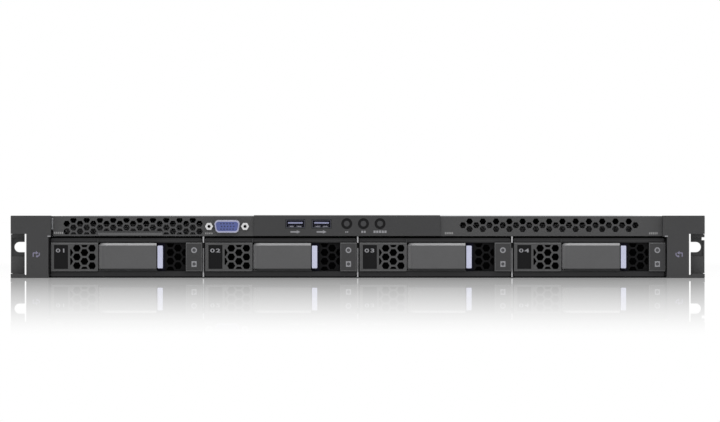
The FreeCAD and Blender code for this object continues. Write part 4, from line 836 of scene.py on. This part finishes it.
# Fine ridge along the upper strip of each bezel, painted lighter than the strip: a painted highlight
ridge = {"inset": 2.2, "z": 25.7, "height": 0.45, "rise": 0.1}
for bay in bays:
    low, high = nodeBox("tray_bezel_" + bay)
    line = rectangle((low.x + high.x) / 2, ridge["z"], high.x - low.x - 2 * ridge["inset"], ridge["height"])
    mark("strip_ridge_" + bay, [line], bezel["stripFront"], "tray_" + bay, "lampPlasticAndPaintedLight", ridge["rise"])

# Bent arrow on each ear, with a hook that ends in a dot, drawn for the left ear
arrow = {"legX": -225.1, "legLow": 14.8, "bar": 17.4, "stroke": 0.75, "headX": -223.2, "tipX": -221.6,
         "headLow": 16.2, "headHigh": 18.9, "hook": (-222.3, 16.6), "hookRadius": 1.9, "hookSpan": (-75, 35),
         "dot": (-222.4, 15.075), "dotRadius": 0.75, "dotThick": 0.05}
half = arrow["stroke"] / 2
left, right = arrow["legX"] - half, arrow["legX"] + half
bar, headX = arrow["bar"], arrow["headX"]
top, under = bar + half, bar - half
bent = [(left, arrow["legLow"]), (right, arrow["legLow"]), (right, under), (headX, under),
        (headX, arrow["headLow"]), (arrow["tipX"], bar), (headX, arrow["headHigh"]), (headX, top),
        (left + half, top), (left, top - half)]
outer = arc(*arrow["hook"], arrow["hookRadius"], *arrow["hookSpan"])
inner = arc(*arrow["hook"], arrow["hookRadius"] - arrow["stroke"], *reversed(arrow["hookSpan"]))
dot = circle(*arrow["dot"], arrow["dotRadius"])
for side, sign in sides:
    shapes = [[(-sign * x, z) for x, z in points] for points in (bent, outer + inner, dot)]
    mark("ear_arrow_" + side, shapes[:2], earFace, "base", "lavenderInk")
    mark("ear_dot_" + side, shapes[2:], earFace, "base", "lavenderInk", arrow["dotThick"])

# Rows of plain strokes on the panel and under the buttons, arrows under the USB sockets
panelRows = ((-207.8, 31.3, 6.2, 1.4, 5), (-103.4, 31.0, 5.2, 1.2, 4), (63.4, 31.1, 5.6, 1.4, 4),
             (205.4, 31.0, 5.8, 1.5, 5))  # x, z, width, height and count of strokes
buttonRows = ((31.9, 2.0, 1.0, 2), (32.0, 3.0, 1.5, 2), (32.1, 9.0, 1.7, 5))  # the same, at the button's x
usbSign = {"z": 32.0, "length": 6.8, "head": 2.4, "width": 2.4, "stroke": 1.0}
usbTongues = [(low + high) / 2 for faces, low, high in usbIslands if isTongue(low, high)]
for count, row in enumerate(panelRows, 1):
    mark("panel_strokes_" + str(count), dashes(*row), panelFace, "base", "faintInk")
for count, row in enumerate(buttonRows, 1):
    mark("button_strokes_" + str(count), dashes(buttons[count - 1].x, *row), controlFace, "base", "printInk")
for count, spot in enumerate(usbTongues, 1):
    outline = moved(pointer(usbSign), spot.x, usbSign["z"])
    mark("socket_sign_" + str(count), [outline], controlFace, "base", "printInk")

# Painted shade for the pin holes of the VGA sockets: dark discs in three rows of five
pins = {"pitch": 2.1, "rise": 1.9, "shift": 0.5, "radius": 0.48, "sides": 12, "rearX": -186.0, "rearZ": 13.8}
pinHoles = [circle(column * pins["pitch"] + pins["shift"] * (row == 0), row * pins["rise"], pins["radius"],
                   pins["sides"]) for row in (-1, 0, 1) for column in range(-2, 3)]
pinPlate = filled("vga_pins", pinHoles, recessThick)
frontVga = middle("front_vga_socket")
vgaSpots = {"front": (frontVga.x, frontMouth + socket["insertSink"], frontVga.z),
            "rear": (pins["rearX"], rearMouth - socket["insertSink"], pins["rearZ"])}
for facing, spot in vgaSpots.items():
    scatter(facing + "_vga_pins", pinPlate, [spot], facing, "base", "pinHoleShade")

# Front lips of the USB tongues
tongue = {"halfWidth": 5.1, "halfHeight": 0.475, "z": 38.225, "cut": 0.2, "front": -10.75}
tongueTip = min(low.y for faces, low, high in usbIslands if isTongue(low, high))
right, top, cut = tongue["halfWidth"], tongue["halfHeight"], tongue["cut"]
tongueLip = doubled([(right, cut - top), (right, top - cut), (right - cut, top), (cut - right, top)])
for count, spot in enumerate(usbTongues, 1):
    mark("usb_tongue_lip_" + str(count), [moved(tongueLip, spot.x, tongue["z"])], tongueTip, "base",
         "tonguePlastic", tongueTip - tongue["front"])

# Spring tabs in the front USB sockets: bent strips on the shells' floors
spring = {"apart": 5.6, "width": 4.2, "floor": 35.15, "rise": 1.5, "front": -10.7, "top": -9.9, "back": -8.4,
          "foot": 0.5, "thick": 0.5}
low, front, back, foot = [spring[key] for key in ("floor", "front", "back", "foot")]
crest = low + spring["rise"]
bend = [(front, low), (spring["top"], crest), (back, low), (back - foot, low),
        (spring["top"], crest - spring["thick"]), (front + foot, low)]
strip = filled("spring_strip", [bend], spring["width"])
springSpots = [(spot.x + (sign * spring["apart"] - spring["width"]) / 2, 0, 0) for spot in usbTongues
               for side, sign in sides]
scatter("usb_springs", strip, springSpots, "right", "base", "springSteel")

# Light sheet corners where the ear covers step in: small pieces that are a painted highlight
corner = {"x": 214.1, "z": 29.0, "size": (2.2, 0.8), "thick": 0.12}
for side, sign in sides:
    tab = rectangle(sign * corner["x"], corner["z"], *corner["size"])
    mark("corner_highlight_" + side, [tab], earFace, "base", "dullSteel", corner["thick"])

# Painted shade: flat black crosses for the cross recesses of the ear screws
earScrews = {"places": ((14.0, 12.0), (14.0, 31.0), (42.0, 21.5)), "cross": (1.5, 0.35)}
earRecessShade = filled("ear_recess", [cross(*earScrews["cross"])], recessThick)


def scatterSides(label, mesh, x, places, paint):  # on both sides of the base
    for side, sign in sides:
        spots = [(sign * x, y, z) for y, z in places]
        scatter(label + side, mesh, spots, side, "base", paint)


scatterSides("ear_screw_recess_", earRecessShade, nodeBox("screws")[1].x, earScrews["places"], "blackPlastic")

# Flat screws on flange, cover, drives and power supplies, round ones at the rear
screwRows = {"flangeY": 3.4, "flangeX": (-206.0, -130.0, 130.0, 206.0), "coverY": 690.0,
             "coverX": (-206.0, -70.0, 70.0, 206.0), "driveInset": 7.5, "driveCount": 3, "supplyInset": 9.0,
             "supplyCount": 2, "rearX": (-205.0, -81.0, 44.0), "rearZ": 31.0, "cross": (1.4, 0.32)}
profiles = {"flat": ((2.7, 0), (2.6, 0.042), (2.2, 0.07), (0, 0.07)),
            "round": ((2.6, 0), (2.6, 0.3), (2.392, 0.75), (1.82, 1.1), (1.04, 1.3), (0, 1.3))}
heads = {kind: turned(kind + "_head", profile) for kind, profile in profiles.items()}
# flat black crosses on the screw heads: painted shade for their cross recesses
headRecessShade = filled("head_recess", [cross(*screwRows["cross"])], recessThick)


def addScrews(label, kind, spots, facing, body):
    lift = turns[facing].to_3x3() @ Vector((0, 0, profiles[kind][-1][1]))
    tops = [Vector(spot) + lift for spot in spots]
    scatter(label + "_screws", heads[kind], spots, facing, body, "nickel")
    scatter(label + "_screw_recess", headRecessShade, tops, facing, body, "blackPlastic")


def addLidScrews(label, kind, low, high, body):  # two rows from front to back on the top of a box
    inset, count = screwRows[kind + "Inset"], screwRows[kind + "Count"]
    step = (high.y - low.y - 2 * inset) / (count - 1)
    lines = [low.y + inset + row * step for row in range(count)]
    spots = [(x, y, high.z) for x in (low.x + inset, high.x - inset) for y in lines]
    addScrews(label, "flat", spots, "top", body)


for label, body in (("flange", "base"), ("cover", "cover")):
    spots = [(x, screwRows[label + "Y"], coverTop) for x in screwRows[label + "X"]]
    addScrews(label, "flat", spots, "top", body)
for bay in bays:
    addLidScrews("drive_" + bay, "drive", *nodeBox("hard_drive_" + bay), "tray_" + bay)
for unit in supplies:
    low, high = nodeBox("psu_case_" + unit)
    low.y, high.y = supply["cardEdge"], rearFace
    addLidScrews("supply_" + unit, "supply", low, high, "psu_" + unit)
addScrews("rear", "round", [(x, rearFace, screwRows["rearZ"]) for x in screwRows["rearX"]], "rear", "base")

# Rivets on the side walls
rivets = {"profile": ((1.9, 0), (1.615, 0.2925), (0.95, 0.45), (0, 0.486)),
          "places": ((75.0, 7.0), (150.0, 7.0), (195.0, 9.0), (195.0, 33.0), (215.0, 9.0), (215.0, 33.0),
                     (530.0, 8.0), (665.0, 8.0), (692.0, 20.0))}
rivet = turned("rivet", rivets["profile"])
scatterSides("wall_rivets_", rivet, wallFace, rivets["places"], "dullSteel")

# Inlet rims and lamps of the power supplies
inletRim = {"left": -14.7, "right": 14.7, "low": -11.1, "high": 11.1, "cut": 4.0, "thick": 0.9}
inletHole = {"left": -11.9, "right": 11.9, "low": -8.3, "high": 8.3, "cut": 0.01}
rim = filled("inlet_rim", [cutTop(inletRim), cutTop(inletHole)], inletRim["thick"])
lamp = {"x": 44.5, "z": 36.0, "profile": ((1.3, 0), (1.17, 0.35), (0.65, 0.6), (0, 0.7))}
dome = turned("supply_lamp", lamp["profile"])
for unit in supplies:
    low, high = nodeBox("psu_case_" + unit)
    rimSpot = (low.x + supply["inletX"], rearFace, low.z + supply["inletRise"])
    scatter("inlet_rim_" + unit, rim, [rimSpot], "rear", "psu_" + unit, "blackPlastic")
    lampSpot = (low.x + lamp["x"], rearFace, lamp["z"])
    scatter("supply_lamp_" + unit, dome, [lampSpot], "rear", "psu_" + unit, "greenLens")

# Lamps and contacts of the network sockets
network = {"x": (-108.0, -87.0, -66.0), "face": 700.8, "lampX": 5.6, "lampZ": 19.6, "lamp": (2.6, 1.5),
           "lampThick": 0.12, "contact": (0.45, 6.0), "contactY": 694.0, "contactZ": 17.6, "pitch": 1.02,
           "contactThick": 0.2, "contacts": 8}
window = filled("network_window", [rectangle(0, 0, *network["lamp"])], network["lampThick"])
for label, sign, paint in (("link", 1, "greenLens"), ("speed", -1, "amberLens")):
    spots = [(x + sign * network["lampX"], network["face"], network["lampZ"]) for x in network["x"]]
    scatter("network_" + label + "_lamps", window, spots, "rear", "base", paint)
contact = filled("network_contact", [rectangle(0, 0, *network["contact"])], network["contactThick"])
firstX = -network["pitch"] * (network["contacts"] - 1) / 2
contactSpots = [(x + firstX + count * network["pitch"], network["contactY"], network["contactZ"])
                for x in network["x"] for count in range(network["contacts"])]
scatter("network_contacts", contact, contactSpots, "top", "base", "gold")

# Raised arrow on the cover's latch, to the rear
latchArrow = {"y": 500.0, "length": 14.0, "head": 6.0, "width": 7.6, "stroke": 2.4, "rise": 0.25}
arrowPlate = filled("arrow_plate", [[(-z, x) for x, z in pointer(latchArrow)]], latchArrow["rise"])
scatter("latch_arrow", arrowPlate, [(0, latchArrow["y"], coverTop)], "top", "cover_latch", "blackPlastic")
for spare in (pinPlate, strip, earRecessShade, *heads.values(), headRecessShade, rivet, rim, dome, window, contact,
              arrowPlate):
    bpy.data.meshes.remove(spare)
print("small pieces placed")


# Floor, light and camera

cameraLook = {"back": 4.0, "x": 1.6, "z": 46.5, "pixelSize": 0.6945, "imageWidth": 720,
              "frontPlane": 10.0, "sensor": 36.0, "clipEnd": 100.0}
floorLook = {"size": 40.0, "sink": 0.02, "rough": 0.008, "matt": (0.9, 0.9, 0.9, 1.0), "mirror": 0.78,
             "mirrorBehind": 0.12, "behindStart": 0.02, "behindRise": 12.0, "grazingPower": 4.0,
             "fadePixels": 58.0, "fadePower": 1.5, "nearest": 0.2, "furthest": 99.0, "shadeShare": 0.14,
             "shadeMiddle": 0.35, "shadeRadius": 0.45, "shadeReach": 0.45}
white = (1.0, 1.0, 1.0, 1.0)


def rays(wire, *kinds):  # 1 for a ray of these kinds
    found = [wire.node("ShaderNodeLightPath", {}, {}, "Is " + kind + " Ray") for kind in kinds]
    return sum(found).clamped()


floorMesh = bpy.data.meshes.new("studio_floor")
floorCorners = [(x, y, 0) for x, y in rectangle(0, 0, floorLook["size"], floorLook["size"])]
floorMesh.from_pydata(floorCorners, [], [(0, 1, 2, 3)])
floor = addObject("studio_floor", floorMesh)
floor.location.z = -floorLook["sink"] * mm
floorPaint = bpy.data.materials.new("studioFloor")
floorPaint.use_nodes = True
floorPaint.node_tree.nodes.clear()
start = Wire(floorPaint.node_tree)
position = start.node("ShaderNodeNewGeometry", {}, {}, "Position")
across, depth = [start.node("ShaderNodeSeparateXYZ", {}, {"Vector": position}, axis) for axis in ("X", "Y")]

# The mirror image fades with the distance in front of the object
pixelScale = cameraLook["back"] / cameraLook["pixelSize"] * cameraLook["z"]
reach = (depth + cameraLook["back"]).clamped(floorLook["nearest"], floorLook["furthest"])
fall = pixelScale / reach - pixelScale / cameraLook["back"]
share = (1.0 - fall / floorLook["fadePixels"]).clamped() ** floorLook["fadePower"]
behind = ((depth - floorLook["behindStart"]) * floorLook["behindRise"]).clamped()
grazing = start.node("ShaderNodeLayerWeight", {}, {}, "Facing") ** floorLook["grazingPower"]
mirror = grazing * share * (floorLook["mirror"] * (1.0 - behind) + floorLook["mirrorBehind"] * behind)

# Plain white far away, a matt share near the object that takes its shadow
inward = depth - floorLook["shadeMiddle"]
away = ((across * across + inward * inward) ** 0.5 - floorLook["shadeRadius"]) / floorLook["shadeReach"]
near = (1.0 - away).clamped()
plainShare = rays(start, "Camera", "Glossy") * (1.0 - near * floorLook["shadeShare"])
matt = start.node("ShaderNodeBsdfDiffuse", {}, {"Color": floorLook["matt"]})
plain = start.node("ShaderNodeEmission", {}, {"Color": white})
gloss = start.node("ShaderNodeBsdfGlossy", {}, {"Color": white, "Roughness": floorLook["rough"]})
ground = start.node("ShaderNodeMixShader", {}, {0: plainShare, 1: matt, 2: plain})
sheen = start.node("ShaderNodeMixShader", {}, {0: mirror * rays(start, "Camera"), 1: ground, 2: gloss})
start.node("ShaderNodeOutputMaterial", {}, {"Surface": sheen})
floorMesh.materials.append(floorPaint)

# The world is white where it is seen and gives a weaker light
worldLook = {"light": 0.5, "backdrop": 1.0}
world = bpy.data.worlds.new("studio_world")
bpy.context.scene.world = world
world.use_nodes = True
world.node_tree.nodes.clear()
sky = Wire(world.node_tree)
lit, backdrop = [sky.node("ShaderNodeBackground", {}, {"Color": white, "Strength": strength})
                 for strength in worldLook.values()]
seen = rays(sky, "Camera", "Glossy", "Transmission")
glow = sky.node("ShaderNodeMixShader", {}, {0: seen, 1: lit, 2: backdrop})
sky.node("ShaderNodeOutputWorld", {}, {"Surface": glow})

lights = {  # sizes and places in metres
    "top_softbox": {"size": (1.3, 0.7), "power": 9.0, "spot": (0, 0.05, 1.25), "aim": (0, 0.051, 0)},
    "front_fill": {"size": (2.6, 1.8), "power": 32.0, "spot": (0, -2.6, 1.5), "aim": (0, 0, 0.02)},
    "low_fill": {"size": (0.4, 0.2), "power": 5.0, "spot": (0, -3.0, 0.06), "aim": (0, 0, 0.03)},
}
for name, look in lights.items():
    light = bpy.data.lights.new(name, "AREA")
    light.shape = "RECTANGLE"
    light.size, light.size_y = look["size"]
    light.energy = look["power"]
    holder = addObject(name, light)
    holder.location = look["spot"]
    holder.rotation_euler = (Vector(look["aim"]) - Vector(look["spot"])).to_track_quat("-Z", "Y").to_euler()
    holder.visible_glossy = name == "top_softbox"
    holder.visible_camera = False

camera = bpy.data.cameras.new("photo_camera")
camera.sensor_width = cameraLook["sensor"]
fieldWidth = cameraLook["pixelSize"] * cameraLook["imageWidth"] * mm
camera.lens = camera.sensor_width * (cameraLook["back"] - cameraLook["frontPlane"] * mm) / fieldWidth
camera.clip_end = cameraLook["clipEnd"]
cameraHolder = addObject("photo_camera", camera)
cameraHolder.location = (cameraLook["x"] * mm, -cameraLook["back"], cameraLook["z"] * mm)
cameraHolder.rotation_euler = (math.radians(90), 0, 0)
bpy.context.scene.camera = cameraHolder
bpy.context.scene.view_settings.view_transform = "Standard"
print("stage set")
